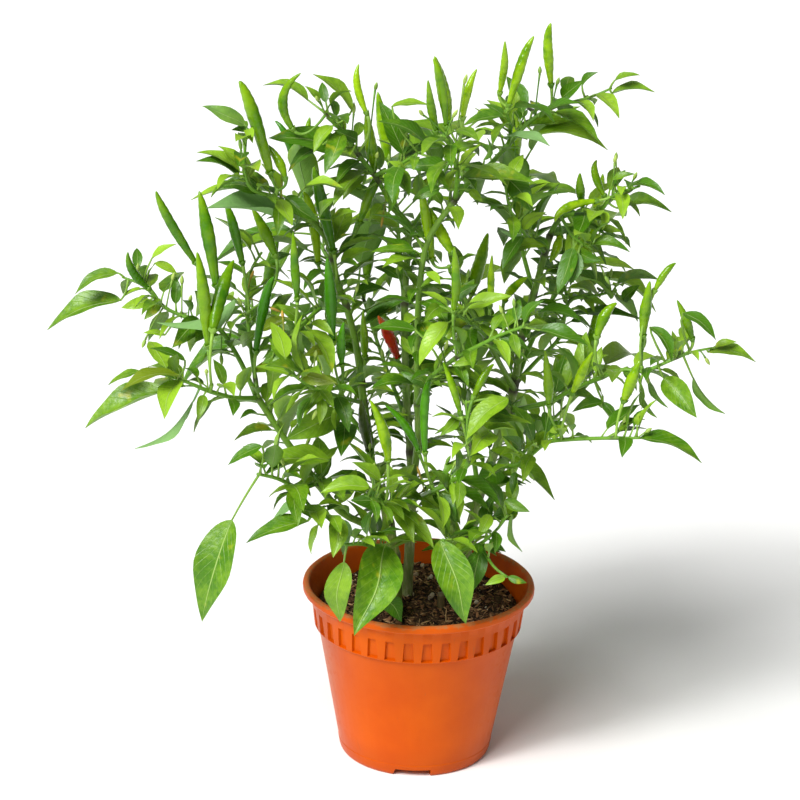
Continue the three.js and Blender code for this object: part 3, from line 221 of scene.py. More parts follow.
# Makes the object of a batch, in metres, with its attributes and its material slots.
def makePiece(name, batch, materials, replaced=()):
    verts = np.concatenate(batch["verts"]) * mm
    quads = np.concatenate(batch["quads"])
    capSizes = [len(cap) for cap in batch["caps"]]
    sizes = np.concatenate([np.full(len(quads), quads.shape[1]), capSizes]).astype(np.int32)
    starts = np.concatenate([[0], np.cumsum(sizes)[:-1]]).astype(np.int32)
    corners = np.concatenate([quads.ravel(), *batch["caps"]]).astype(np.int32)
    mesh = bpy.data.meshes.new(name)
    mesh.vertices.add(len(verts))
    mesh.vertices.foreach_set("co", verts.astype(np.float32).ravel())
    mesh.loops.add(len(corners))
    mesh.loops.foreach_set("vertex_index", corners)
    mesh.polygons.add(len(sizes))
    mesh.polygons.foreach_set("loop_start", starts)
    mesh.polygons.foreach_set("use_smooth", np.ones(len(sizes), bool))
    kinds = np.concatenate([*batch["kinds"], batch["capKinds"]]).astype(np.int32)
    mesh.polygons.foreach_set("material_index", kinds)
    mesh.update(calc_edges=True)
    uv = np.concatenate(batch["uv"])[corners]
    mesh.uv_layers.new(name="UVMap").data.foreach_set("uv", uv.astype(np.float32).ravel())
    for key in ("tone", "mark"):
        values = np.concatenate(batch[key]).astype(np.float32)
        mesh.attributes.new(key, "FLOAT", "POINT").data.foreach_set("value", values)
    rim = np.concatenate(batch["rim"])
    if rim.any():
        ends = np.zeros(2 * len(mesh.edges), np.int32)
        mesh.edges.foreach_get("vertices", ends)
        a, b = rim[ends[::2]], rim[ends[1::2]]
        isSharp = (a == b) & (a > 0)
        mesh.attributes.new("sharp_edge", "BOOLEAN", "EDGE").data.foreach_set("value", isSharp)
    mesh.validate()
    piece = bpy.data.objects.new(name, mesh)
    bpy.context.scene.collection.objects.link(piece)
    for material in materials:
        mesh.materials.append(material)
    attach(piece, "root")
    if replaced:
        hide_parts(*replaced)
    return piece


# The plant, read from the photograph.
# A limb's points are rows of [x, y, depth, radius]. The first limb of a stem stands in the soil.
stems = {
  "stem_left": {
    "limbs": [[[396, 606, -16, 5.6], [395, 560, -16, 5], [388, 520, -14, 4.4], [383, 498, -12, 4],
      [372, 475, -8, 3.6], [370, 440, 0, 3.4], [363, 400, 8, 3.2], [358, 350, 15, 3],
      [345, 300, 18, 2.8], [337, 285, 18, 2.8], [330, 240, 15, 2.4], [305, 215, 5, 2.1]],
      [[387, 530, -14, 3.6], [343, 517, -40, 3.2], [315, 480, -55, 3], [283, 437, -50, 2.7],
      [256, 395, -45, 2.6]]],
  },
  "stem_middle": {
    "limbs": [[[407, 593, 12, 4.6], [410, 540, 15, 4.2], [412, 500, 18, 4], [411, 450, 24, 3.6],
      [406, 400, 30, 3.3], [404, 300, 42, 2.9], [410, 225, 45, 2.7]], [[412, 486, 19, 3.2],
      [419, 440, 6, 3], [417, 400, 0, 2.9], [418, 300, -20, 2.7], [425, 240, -28, 2.5],
      [455, 200, -30, 2.5]]],
  },
  "stem_right": {
    "limbs": [[[466, 592, 10, 4.8], [466, 545, 10, 4.3], [480, 490, 12, 3.9], [500, 440, 18, 3.6],
      [515, 388, 20, 3.4], [520, 340, 25, 3], [535, 290, 30, 2.8], [550, 235, 32, 2.6]],
      [[515, 390, 20, 2.6], [503, 370, 5, 2.4], [485, 335, -10, 2.2], [465, 300, -20, 2],
      [450, 270, -25, 1.8]]],
  },
  "stem_stub": {
    "limbs": [[[441, 606, -14, 3.4], [441, 593, -14, 3]]],
  },
}

# A spray's first limb grows from a stem, and the others from its own limbs. A leaf is a row of
# [base x, base y, tip x, tip y, width as seen in pixels, face, tip's depth less its base's], where face
# is -1 if the underside shows. A bud is [foot x, foot y, end x, end y].
# leavesByRule more leaves stand round the limbs, and chilliesByRule is the same for chillies.
sprays = {
  "spray_left_far": {
    "limbs": [[[256, 395, -45, 2.2], [240, 360, -40, 2], [220, 327, -35, 2], [200, 323, -35, 1.7],
      [163, 308, -30, 1.5], [145, 285, -25, 1.3], [122, 277, -22, 1]]],
    "leaves": [[121, 300, 47, 330, 18], [118, 273, 75, 294, 11], [150, 300, 121, 308, 12],
      [160, 299, 144, 320, 12], [235, 300, 157, 323, 16, -1, -20], [200, 320, 172, 348, 22]],
    "buds": [[138, 284, 138, 263], [182, 315, 182, 275]],
  },
  "spray_left_middle": {
    "limbs": [[[257, 398, -46, 2], [232, 398, -70, 1.8], [205, 390, -85, 1.7], [190, 383, -91, 1.4],
      [165, 375, -97, 1.1]]],
    "leaves": [[178, 375, 121, 391, 12], [140, 371, 108, 385, 7], [165, 391, 85, 428, 19],
      [193, 402, 135, 449, 11, -1], [185, 360, 150, 348, 8]],
  },
  "spray_left_upper": {
    "limbs": [[[257, 390, -45, 1.9], [251, 350, -18, 1.7], [246, 303, -5, 1.6], [250, 270, 5, 1.3],
      [262, 252, 10, 1]]],
    "leaves": [[268, 262, 292, 254, 9], [262, 330, 292, 318, 12], [242, 345, 262, 330, 12],
      [252, 372, 300, 368, 12]],
    "buds": [[254, 296, 254, 270]],
  },
  "spray_left_low": {
    "limbs": [[[317, 483, -54, 2.1], [300, 490, -82, 1.9], [278, 478, -99, 1.6], [257, 474, -106, 1.3]],
      [[300, 490, -82, 1.6], [312, 512, -92, 1.4], [330, 519, -96, 1.1]]],
    "leaves": [[262, 446, 228, 465, 11], [330, 460, 257, 462, 20, 1, -15],
      [232, 520, 202, 622, 38, 1, -14], [308, 521, 246, 543, 16], [300, 500, 272, 522, 8],
      [315, 478, 290, 500, 8], [330, 515, 293, 508, 14], [338, 517, 333, 558, 20],
      [343, 520, 343, 555, 12]],
  },
  "spray_front_left": {
    "limbs": [[[393, 556, -16, 2.2], [378, 548, -60, 1.9], [360, 543, -88, 1.7],
      [345, 545, -100, 1.3]]],
    "leaves": [[385, 545, 354, 636, 45, 1, -44], [344, 562, 340, 622, 26, 1, -14],
      [387, 600, 402, 622, 20, 1, -30]],
  },
  "spray_front_middle": {
    "limbs": [[[389, 524, -14, 2], [393, 507, -60, 1.7], [380, 500, -98, 1.5], [365, 495, -119, 1.1]]],
    "leaves": [[370, 487, 320, 493, 16], [385, 503, 350, 500, 20], [405, 500, 387, 522, 14],
      [380, 480, 352, 462, 12]],
  },
  "spray_inner_left": {
    "limbs": [[[363, 403, 8, 2], [340, 397, -48, 1.8], [318, 390, -82, 1.6], [300, 380, -108, 1.4],
      [285, 368, -118, 1.1]]],
    "leaves": [[345, 423, 341, 457, 24], [340, 412, 285, 440, 28], [300, 372, 265, 366, 10],
      [301, 374, 337, 383, 16], [333, 381, 306, 411, 14]],
  },
  "spray_inner_left_upper": {
    "limbs": [[[342, 294, 18, 2], [315, 312, -41, 1.8], [290, 338, -68, 1.6], [272, 350, -83, 1.2]]],
    "leaves": [[328, 348, 303, 356, 12], [318, 300, 350, 312, 14], [300, 320, 276, 304, 12],
      [285, 345, 262, 364, 12], [312, 322, 334, 336, 10]],
    "buds": [[283, 340, 282, 310]],
  },
  "spray_top_left": {
    "limbs": [[[305, 215, 5, 2.1], [275, 197, -27, 2], [250, 190, -43, 1.6], [243, 172, -48, 1.4],
      [247, 128, -51, 1]]],
    "leaves": [[245, 125, 202, 106, 15], [242, 167, 218, 146, 9], [240, 172, 197, 152, 9],
      [240, 178, 196, 161, 10], [262, 193, 218, 187, 16], [295, 225, 206, 208, 17],
      [285, 197, 318, 222, 16], [320, 215, 336, 198, 10], [305, 187, 343, 188, 8]],
    "buds": [[285, 195, 283, 162]],
  },
  "spray_top_left_high": {
    "limbs": [[[410, 225, 45, 2.3], [392, 205, 36, 2.1], [375, 175, 16, 2], [358, 155, 7, 2],
      [350, 140, 1, 1.6], [322, 110, -12, 1.1]], [[375, 175, 16, 1.6], [395, 168, -22, 1.4],
      [420, 152, -40, 1.1]]],
    "leaves": [[352, 110, 313, 74, 12], [308, 100, 263, 85, 8], [342, 150, 268, 138, 24, 1, -12],
      [357, 140, 333, 130, 12], [320, 147, 288, 172, 10], [362, 190, 328, 178, 10],
      [430, 148, 378, 121, 12], [447, 165, 404, 167, 16]],
    "buds": [[368, 165, 377, 82], [352, 142, 354, 102]],
  },
  "spray_top_middle": {
    "limbs": [[[455, 200, -30, 2.2], [458, 175, -44, 1.8], [452, 150, -65, 1.5], [446, 132, -72, 1.1]]],
    "leaves": [[460, 180, 537, 184, 16], [440, 188, 412, 200, 12]],
  },
  "spray_top_right": {
    "limbs": [[[456, 199, -30, 2.2], [470, 180, -18, 2.1], [490, 165, -5, 2], [508, 145, 5, 2],
      [530, 120, 10, 1.6], [552, 107, 15, 1.5], [592, 97, 20, 1.2], [612, 88, 22, 1]],
      [[508, 145, 5, 1.6], [512, 128, -10, 1.3], [505, 110, -18, 1]]],
    "leaves": [[612, 93, 655, 92, 8], [562, 98, 585, 80, 14], [540, 117, 580, 103, 6],
      [518, 128, 585, 127, 9], [537, 134, 608, 150, 14], [505, 137, 550, 146, 9]],
    "buds": [[534, 116, 540, 66], [515, 140, 517, 170]],
  },
  "spray_right_upper": {
    "limbs": [[[550, 235, 32, 2.3], [560, 215, 28, 2], [600, 213, 8, 1.7], [612, 195, -2, 1.5],
      [640, 186, -12, 1]], [[560, 215, 28, 1.6], [573, 238, -12, 1.3], [592, 249, -32, 1]]],
    "leaves": [[578, 252, 602, 261, 13], [590, 245, 630, 252, 10], [580, 240, 612, 243, 8],
      [617, 208, 672, 212, 11], [632, 185, 665, 195, 8]],
    "buds": [[612, 194, 616, 155], [596, 249, 610, 285]],
  },
  "spray_right_inner_top": {
    "limbs": [[[545, 252, 31, 1.9], [525, 235, -11, 1.7], [510, 212, -35, 1.4], [505, 185, -41, 1]]],
    "leaves": [[508, 178, 533, 212, 22], [538, 242, 500, 230, 14, -1], [512, 250, 548, 246, 12],
      [522, 228, 546, 212, 12]],
  },
  "spray_inner_right": {
    "limbs": [[[486, 336, -10, 1.9], [470, 322, -57, 1.6], [452, 312, -86, 1.2]]],
    "leaves": [[468, 308, 512, 296, 14], [470, 330, 474, 352, 16], [440, 306, 424, 322, 14],
      [452, 300, 478, 284, 12]],
  },
  "spray_centre": {
    "limbs": [[[417, 404, 0, 2], [430, 377, -57, 1.8], [458, 356, -95, 1.8], [500, 335, -114, 1.5],
      [525, 326, -122, 1.1]]],
    "leaves": [[540, 330, 588, 346, 14], [476, 360, 452, 366, 10], [415, 330, 372, 328, 12],
      [500, 338, 530, 350, 12], [432, 384, 400, 372, 14], [524, 322, 544, 300, 10]],
  },
  "spray_centre_low": {
    "limbs": [[[413, 500, 16, 2.3], [440, 488, -67, 2.1], [462, 475, -96, 2], [470, 460, -103, 1.8],
      [468, 430, -103, 1.4], [466, 400, -103, 1]]],
    "leaves": [[423, 498, 452, 523, 18], [490, 432, 470, 456, 24], [508, 398, 466, 440, 20],
      [458, 418, 440, 436, 12], [448, 492, 430, 470, 10]],
    "buds": [[425, 494, 417, 466]],
  },
  "spray_right_middle": {
    "limbs": [[[517, 382, 20, 2.1], [540, 357, 40, 1.9], [560, 340, 50, 1.8], [568, 298, 60, 1.7],
      [596, 296, 60, 1.4], [617, 290, 58, 1]], [[568, 298, 60, 1.5], [558, 270, 62, 1]]],
    "leaves": [[617, 283, 660, 280, 11], [623, 300, 640, 285, 12], [612, 298, 570, 273, 10],
      [600, 297, 573, 285, 9], [553, 268, 530, 258, 12]],
    "buds": [[606, 294, 612, 268]],
  },
  "spray_right_far": {
    "limbs": [[[512, 411, 19, 2.3], [550, 402, -24, 2.1], [575, 388, -47, 1.9], [603, 377, -62, 1.8],
      [622, 368, -70, 1.7], [643, 373, -77, 1.6], [660, 365, -82, 1.4], [690, 352, -84, 1.2],
      [712, 348, -84, 1]]],
    "leaves": [[664, 378, 697, 418, 24], [693, 378, 725, 414, 13, -1], [648, 378, 668, 408, 12, -1],
      [708, 352, 756, 362, 12], [683, 313, 716, 340, 12], [650, 327, 672, 362, 12],
      [603, 402, 572, 412, 11]],
    "buds": [[700, 352, 710, 365]],
  },
  "spray_right_low": {
    "limbs": [[[490, 466, 14, 2.3], [518, 466, -37, 2.1], [547, 441, -63, 1.9], [572, 439, -76, 1.8],
      [612, 438, -95, 1.5], [640, 438, -108, 1.1]]],
    "leaves": [[550, 437, 569, 425, 12], [625, 437, 622, 458, 15], [640, 438, 702, 463, 13],
      [490, 450, 555, 500, 14, 1, -20], [500, 470, 471, 492, 24], [512, 480, 512, 508, 14],
      [515, 505, 490, 520, 20], [520, 450, 502, 436, 12]],
    "buds": [[612, 438, 628, 414]],
  },
  "spray_front_right": {
    "limbs": [[[466, 562, 9, 2.3], [458, 550, -50, 2], [443, 540, -88, 1.5]], [[458, 550, -50, 1.7],
      [480, 545, -72, 1.5], [497, 530, -82, 1.2], [508, 515, -84, 1]], [[480, 545, -72, 1.4],
      [494, 568, -98, 1.2], [507, 577, -106, 1]]],
    "leaves": [[440, 540, 466, 624, 37, 1, -22], [480, 550, 472, 592, 22], [512, 515, 522, 552, 10, -1],
      [490, 515, 478, 538, 13], [490, 540, 506, 552, 10], [508, 577, 527, 583, 8],
      [505, 500, 530, 512, 12]],
  },
}
# The far side, which the view hides: each limb carries leaves and a chilli by rule.
farSpray = {"leavesByRule": 6, "chilliesByRule": 1}
farLimbs = {
  "spray_back_left": [[370, 442, 0, 2.3], [345, 410, 42, 2], [310, 370, 81, 1.8],
    [275, 330, 110, 1.5], [245, 300, 128, 1.1]],
  "spray_back_left_high": [[347, 306, 18, 2], [330, 262, 54, 1.8], [310, 225, 83, 1.5],
    [290, 198, 100, 1.1]],
  "spray_back_middle_left": [[411, 452, 23, 2.3], [402, 410, 67, 2], [385, 365, 110, 1.8],
    [370, 320, 139, 1.5], [358, 280, 156, 1.1]],
  "spray_back_middle_high": [[404, 302, 41, 2], [400, 252, 83, 1.8], [396, 208, 112, 1.5],
    [392, 168, 129, 1.1]],
  "spray_back_top": [[409, 232, 45, 2], [430, 200, 75, 1.7], [448, 165, 93, 1.4],
    [462, 132, 100, 1]],
  "spray_back_right_high": [[534, 294, 30, 2], [522, 250, 75, 1.8], [516, 205, 106, 1.5],
    [520, 168, 120, 1.1]],
  "spray_back_right": [[516, 382, 21, 2.2], [530, 345, 67, 2], [552, 300, 105, 1.7],
    [578, 262, 126, 1.4], [598, 238, 135, 1]],
  "spray_back_middle_right": [[479, 494, 12, 2.2], [470, 435, 66, 2], [464, 382, 111, 1.8],
    [460, 335, 145, 1.5], [464, 292, 163, 1.1]],
  "spray_back_right_low": [[468, 538, 10, 2.3], [500, 482, 64, 2], [540, 432, 100, 1.7],
    [575, 398, 120, 1.4], [598, 374, 129, 1]],
}
sprays.update({node: {"limbs": [rows], **farSpray} for node, rows in farLimbs.items()})

# A bunch of chillies shares one foot on a limb. Its row is [node, skin, foot, chillies], and a chilli
# is [tip x, tip y, middle x, middle y, base x, base y, width as seen, tip's depth less its base's].
# A bunch with no node of its own grows into the limb that carries it.
bunches = [
  ["chillies_left_outer", "chilli", [208, 324], [[156, 191, 168, 218, 195, 262, 10, -6],
    [199, 191, 207, 228, 216, 285, 13, 8]]],
  ["chillies_left_inner", "chilli", [210, 391], [[197, 252, 203, 290, 208, 345, 13, 0],
    [234, 260, 222, 290, 213, 330, 14, 44]]],
  ["chilli_left_dark", "darkChilli", [256, 383], [[274, 277, 265, 300, 256, 350, 11, -16]]],
  ["chillies_left_upper", "chilli", [248, 314], [[225, 202, 233, 225, 242, 262, 10, 4],
    [252, 208, 264, 230, 275, 255, 11, 10]]],
  ["chillies_top_left", "chilli", [275, 197], [[239, 81, 252, 110, 270, 172, 14, 0],
    [263, 143, 277, 158, 285, 178, 9, 14]]],
  ["chilli_top_left_dark", "darkChilli", [304, 214], [[275, 121, 290, 145, 305, 198, 9, 12]]],
  ["chillies_middle_left", "chilli", [337, 286], [[314, 167, 320, 195, 333, 250, 13, -10],
    [303, 192, 312, 215, 318, 262, 11, -18]]],
  ["", "chilli", [332, 258], [[386, 168, 373, 187, 360, 222, 11, -6]]],
  ["chillies_inner_left", "darkChilli", [341, 397], [[327, 258, 330, 290, 332, 340, 12, -14],
    [344, 322, 341, 342, 342, 364, 9, -4]]],
  ["chilli_top_curved", "chilli", [326, 114], [[301, 73, 283, 98, 292, 128, 10, -6]]],
  ["", "chilli", [357, 153], [[359, 64, 357, 85, 366, 112, 8, 8]]],
  ["chilli_top_left_high", "chilli", [377, 180], [[366, 112, 370, 140, 374, 168, 12, -8]]],
  ["chilli_front", "chilli", [386, 503], [[370, 400, 383, 430, 388, 460, 12, -6]]],
  ["chillies_centre_dark", "darkChilli", [434, 490], [[385, 405, 405, 425, 418, 450, 9, -4],
    [431, 380, 425, 400, 425, 452, 9, 8]]],
  ["chillies_centre", "chilli", [451, 272], [[420, 190, 426, 215, 432, 258, 11, -6],
    [430, 208, 441, 232, 452, 252, 12, 10]]],
  ["chilli_centre_slender", "chilli", [457, 357], [[454, 247, 456, 275, 454, 310, 9, -12]]],
  ["chillies_top_middle", "chilli", [448, 140], [[433, 59, 441, 82, 446, 126, 9, 0],
    [428, 80, 431, 105, 436, 130, 9, -14]]],
  ["", "chilli", [457, 168], [[477, 69, 468, 90, 463, 117, 9, 6]]],
  ["chillies_top_right", "chilli", [506, 113], [[505, 41, 504, 65, 500, 92, 8, -8],
    [534, 36, 522, 62, 509, 104, 10, 6]]],
  ["chilli_top_right_upright", "chilli", [551, 108], [[551, 23, 548, 45, 551, 84, 10, 0]]],
  ["chillies_right_upper", "chilli", [600, 213], [[580, 173, 580, 188, 582, 204, 9, -4],
    [597, 160, 595, 174, 604, 195, 8, 6]]],
  ["", "chilli", [611, 197], [[555, 222, 566, 208, 595, 201, 9, -16]]],
  ["chillies_right", "chilli", [643, 372], [[650, 281, 646, 305, 643, 335, 11, -4],
    [676, 263, 666, 272, 655, 290, 8, 6]]],
  ["chilli_right_outer", "chilli", [678, 357], [[677, 300, 686, 320, 692, 338, 9, -4]]],
  ["chillies_right_low", "chilli", [562, 440], [[545, 350, 548, 380, 549, 404, 10, -4],
    [593, 352, 583, 370, 573, 392, 10, -8]]],
  ["chilli_right_low_outer", "chilli", [616, 438], [[640, 360, 632, 380, 624, 400, 12, 0]]],
  ["chilli_red", "redChilli", [404, 380], [[378, 316, 388, 334, 397, 357, 11, -30]]],
  ["", "chilli", [602, 377], [[617, 303, 605, 315, 597, 336, 11, 6]]],
  ["", "chilli", [520, 338], [[528, 277, 515, 286, 505, 300, 9, -20]]],
  ["", "chilli", [488, 338], [[492, 255, 491, 280, 490, 305, 8, 0]]],
  ["", "chilli", [470, 460], [[443, 362, 452, 385, 460, 412, 8, 4]]],
  ["", "chilli", [469, 445], [[494, 364, 484, 376, 474, 396, 8, 10]]],
  ["", "chilli", [361, 382], [[363, 310, 364, 336, 365, 356, 9, -12]]],
  ["", "chilli", [158, 306], [[128, 252, 132, 270, 148, 288, 9, -8]]],
  ["", "chilli", [291, 337], [[293, 232, 295, 265, 297, 298, 9, 4]]],
  ["", "chilli", [372, 470], [[361, 400, 364, 424, 369, 450, 11, -20]]],
  ["", "chilli", [558, 220], [[550, 262, 556, 250, 560, 236, 10, -20]]],
]

# The crown's outline as the view shows it, and the clear gaps in it, as [x, y, radius]:
# leaves that stand by rule keep inside the one and out of the others.
crownOutline = [
  [112, 290], [150, 225], [215, 180], [230, 110], [290, 85], [350, 70], [430, 72], [500, 60], [570, 75],
  [620, 110], [625, 165], [655, 215], [640, 280], [690, 320], [700, 360], [680, 420], [600, 450],
  [520, 500], [500, 560], [440, 560], [330, 540], [260, 520], [240, 450], [170, 430], [130, 370],
]
crownGaps = [
  [480, 230, 20], [300, 450, 12], [440, 460, 11], [600, 390, 13], [450, 400, 9], [480, 345, 9],
  [525, 265, 12], [590, 425, 14], [260, 330, 10], [430, 360, 11], [575, 480, 40], [215, 500, 45],
  [180, 240, 12], [620, 330, 14], [545, 165, 16], [300, 275, 9], [650, 240, 20], [400, 90, 16],
]

# Small organs that the view shows besides: leaves under 25 mm and buds, placed after all the others.
tinyLeaves = {
  "spray_top_left": [[250, 131, 231, 130, 7], [330, 220, 357, 212, 7]],
  "spray_top_left_high": [[320, 100, 305, 86, 7], [405, 170, 388, 161, 8], [392, 106, 430, 105, 7]],
  "spray_top_middle": [[470, 190, 483, 202, 9], [448, 158, 478, 146, 12]],
  "spray_top_right": [[582, 85, 598, 72, 7], [615, 80, 640, 75, 6]],
  "spray_right_upper": [[600, 228, 622, 232, 8], [613, 180, 635, 174, 7]],
  "spray_right_low": [[637, 425, 640, 412, 6]],
  "spray_right_far": [[715, 347, 737, 342, 7], [672, 352, 672, 330, 8], [603, 402, 616, 420, 9],
    [640, 392, 657, 418, 10, -1]],
  "spray_front_right": [[505, 577, 485, 585, 9]],
  "spray_left_far": [[152, 258, 176, 244, 7], [155, 263, 178, 275, 9], [165, 335, 143, 333, 6]],
  "spray_left_low": [[318, 525, 311, 554, 7]],
}
moreBuds = {
  "spray_left_far": [[142, 325, 142, 348], [222, 330, 222, 366]],
  "spray_left_middle": [[183, 380, 172, 352]],
  "spray_left_upper": [[262, 300, 281, 312]],
  "spray_front_middle": [[396, 506, 410, 484]],
  "spray_inner_left": [[325, 388, 312, 420]],
  "spray_top_left_high": [[326, 114, 316, 96], [366, 172, 363, 185], [386, 196, 381, 228]],
  "spray_top_middle": [[446, 140, 419, 110], [455, 158, 467, 74]],
  "spray_right_upper": [[628, 188, 637, 172]],
  "spray_centre": [[440, 372, 448, 340]],
  "spray_right_far": [[652, 372, 648, 384]],
  "spray_right_low": [[640, 436, 652, 428], [524, 462, 534, 480]],
}

# How the organs find their places, by the same rules as the solids. Lengths are in millimetres, and a
# spread is how much a draw adds.
soilTop = 137
stemDepthInSoil = 42
stalkFree = 9  # how near to its foot a stalk may pass other limbs
firstFoot = 9  # how far along its spray the first stalk stands
lastFoot = 2  # and how far the last one stands from the spray's end
lastShare = 0.99  # the last share of a limb where a foot may stand
nearby = 20  # the room around an organ that is searched for others
# The room that each kind of organ keeps round it, and its share between organs of one node
keepOff = {"blade": 3.2, "stalk": 0.8, "limb": 0.8, "chilli": 0.8, "bud": 0.4, "sameNode": 0.6}
kindNumber = {"limb": 0, "stalk": 1, "blade": 2, "chilli": 3, "bud": 4}
ballStep = {"limb": 5, "stalk": 4, "chilli": 5, "bud": 3, "blade": 7}
# slenderness is width to length, widest its limit, and fold and arch lift the edges and the middle
leafForm = {"slenderness": 0.4, "widest": 0.56, "fold": 0.08, "arch": 0.09, "stalkRadius": 1,
            "ballGap": 4.5, "ballReach": 0.75, "smaller": 0.82, "leanShare": 0.3, "leastOpen": 0.2}
ruleLeaf = {"first": 0.3, "length": 44, "lengthSpread": 34, "stalk": 12, "stalkSpread": 14, "lift": 3,
            "along": 0.45, "droop": 0.15, "tipDroop": 0.3, "tilt": 0.5, "tries": 14, "turnStep": 0.9,
            "smaller": 0.75, "probe": 0.55}
chilliForm = {"neck": 3, "stalkRadius": 1.3, "sharedStalk": 5, "across": 0.75, "forward": 0.3}
ruleChilli = {"first": 0.5, "reach": 0.4, "out": 8, "rise": 20, "lean": 10, "leanSpread": 6,
              "length": 56, "width": 10, "widthSpread": 2, "bend": 2, "turnStep": 0.8, "tries": 8}
budForm = {"radius": 2.1, "stalkRadius": 0.7, "neck": 0.72}
fillLeaf = {"step": 5.2, "first": 0.2, "firstOnStem": 0.3, "length": 20, "lengthSpread": 28,
            "lengthPower": 1.5, "slenderness": 0.4, "stalk": 4, "stalkSpread": 8, "lift": 2,
            "stalkAlong": 0.5, "along": 0.4, "droopSpread": 0.65, "tilt": 0.8, "tries": 12,
            "turnStep": 1.1, "shrink": 0.4, "probe": 0.55, "inside": 3, "offFruit": 7}
fillBud = {"step": 75, "first": 0.3, "reach": 0.69, "rise": 20, "riseSpread": 14, "lean": 9, "tries": 6}

limbsInSpace = []
for group, isStem in ((stems, True), (sprays, False)):
    for node, parts in group.items():
        for number, rows in enumerate(parts["limbs"]):
            points = [spot(x, y, depth) for x, y, depth, radius in rows]
            radii = [row[3] for row in rows]
            seen = [row[:2] for row in rows]
            if isStem and number == 0:
                points[0] = np.array([points[0][0], points[0][1], soilTop])
                points.insert(0, points[0] - up * stemDepthInSoil)
                radii.insert(0, radii[0])
                seen.insert(0, seen[0])
            limbsInSpace.append({"node": node, "points": np.array(points), "radii": radii,
                                 "seen": seen, "isFirst": number == 0, "isStem": isStem})


# The place on the limbs of a node, or on any where node is "", that the view shows nearest to a pixel.
def nearestOnLimbs(x, y, node):
    best = {"gap": math.inf}
    for limb in limbsInSpace:
        if node and limb["node"] != node:
            continue
        points, radii, seen = limb["points"], limb["radii"], limb["seen"]
        for i in range(len(points) - 1):
            (x0, y0), (x1, y1) = seen[i], seen[i + 1]
            length = (x1 - x0) ** 2 + (y1 - y0) ** 2
            if length == 0:
                continue
            run = np.linalg.norm(points[i + 1] - points[i])
            least = firstFoot / run if i == 0 and limb["isFirst"] else 0
            most = 1 - lastFoot / run if i + 2 == len(points) else 1
            t = min(most, max(least, ((x - x0) * (x1 - x0) + (y - y0) * (y1 - y0)) / length))
            gap = math.hypot(x0 + t * (x1 - x0) - x, y0 + t * (y1 - y0) - y)
            if gap < best["gap"] - 1e-9:
                best = {"gap": gap, "point": points[i] + (points[i + 1] - points[i]) * t,
                        "direction": unit(points[i + 1] - points[i]), "node": limb["node"],
                        "radius": radii[i] + t * (radii[i + 1] - radii[i])}
    return best


# Balls that stand for the organs placed so far: rows of x, y, z, radius, node's number and kind.
ballColumns = 6
nodeNumbers = {}
taken = [np.zeros((0, ballColumns))]


# Balls along a way, about a step apart, of its radius and the room that their kind keeps round it.
def ballsAlong(points, radii, node, kind):
    number = nodeNumbers.setdefault(node, len(nodeNumbers))
    balls = []
    for i in range(len(points) - 1):
        count = max(1, math.ceil(np.linalg.norm(points[i + 1] - points[i]) / ballStep[kind]))
        for t in np.arange(count) / count:
            at = points[i] + (points[i + 1] - points[i]) * t
            radius = radii[i] + t * (radii[i + 1] - radii[i]) + keepOff[kind]
            balls.append([*at, radius, number, kindNumber[kind]])
    return np.array(balls).reshape(-1, ballColumns)


# A stalk's balls, past the stretch that stands close to what carries it.
def stalkBalls(foot, end, radius, node):
    balls = ballsAlong([foot, end], [radius, radius], node, "stalk")
    return balls[np.linalg.norm(balls[:, :3] - foot, axis=1) > stalkFree]


# The least room between new balls and those that are taken nearby: below 0 they touch.
def room(balls):
    middle = balls[:, :3].mean(0)
    reach = np.linalg.norm(balls[:, :3] - middle, axis=1).max() + nearby
    others = taken[0][np.linalg.norm(taken[0][:, :3] - middle, axis=1) < reach]
    if not len(others):
        return math.inf
    gap = np.linalg.norm(balls[:, None, :3] - others[None, :, :3], axis=2)
    same = balls[:, None, 4] == others[None, :, 4]
    kind, other = balls[:, None, 5], others[None, :, 5]
    stalk, limb, blade = kindNumber["stalk"], kindNumber["limb"], kindNumber["blade"]
    skip = same & ((kind == stalk) | (other == stalk) | ((other == limb) & (kind != blade)))
    share = np.where(same, keepOff["sameNode"], 1)
    left = gap - (balls[:, None, 3] + others[None, :, 3]) * share
    return np.where(skip, math.inf, left).min()


# The first of several ways to place an organ that is clear of the others, or None.
def firstClear(ways, make):
    for way in ways:
        organ = make(way)
        if organ and room(organ["balls"]) > 0:
            taken[0] = np.concatenate([taken[0], organ["balls"]])
            return organ
    return None


for limb in limbsInSpace:
    balls = ballsAlong(limb["points"], limb["radii"], limb["node"], "limb")
    taken[0] = np.concatenate([taken[0], balls])


# A blade's half width at a share t of its length, as a share of its greatest, which is at about 0.4:
# 3.13 t^0.72 (1 - t)^0.95.
def bladeShape(t):
    return 3.13 * t ** 0.72 * (1 - t) ** 0.95


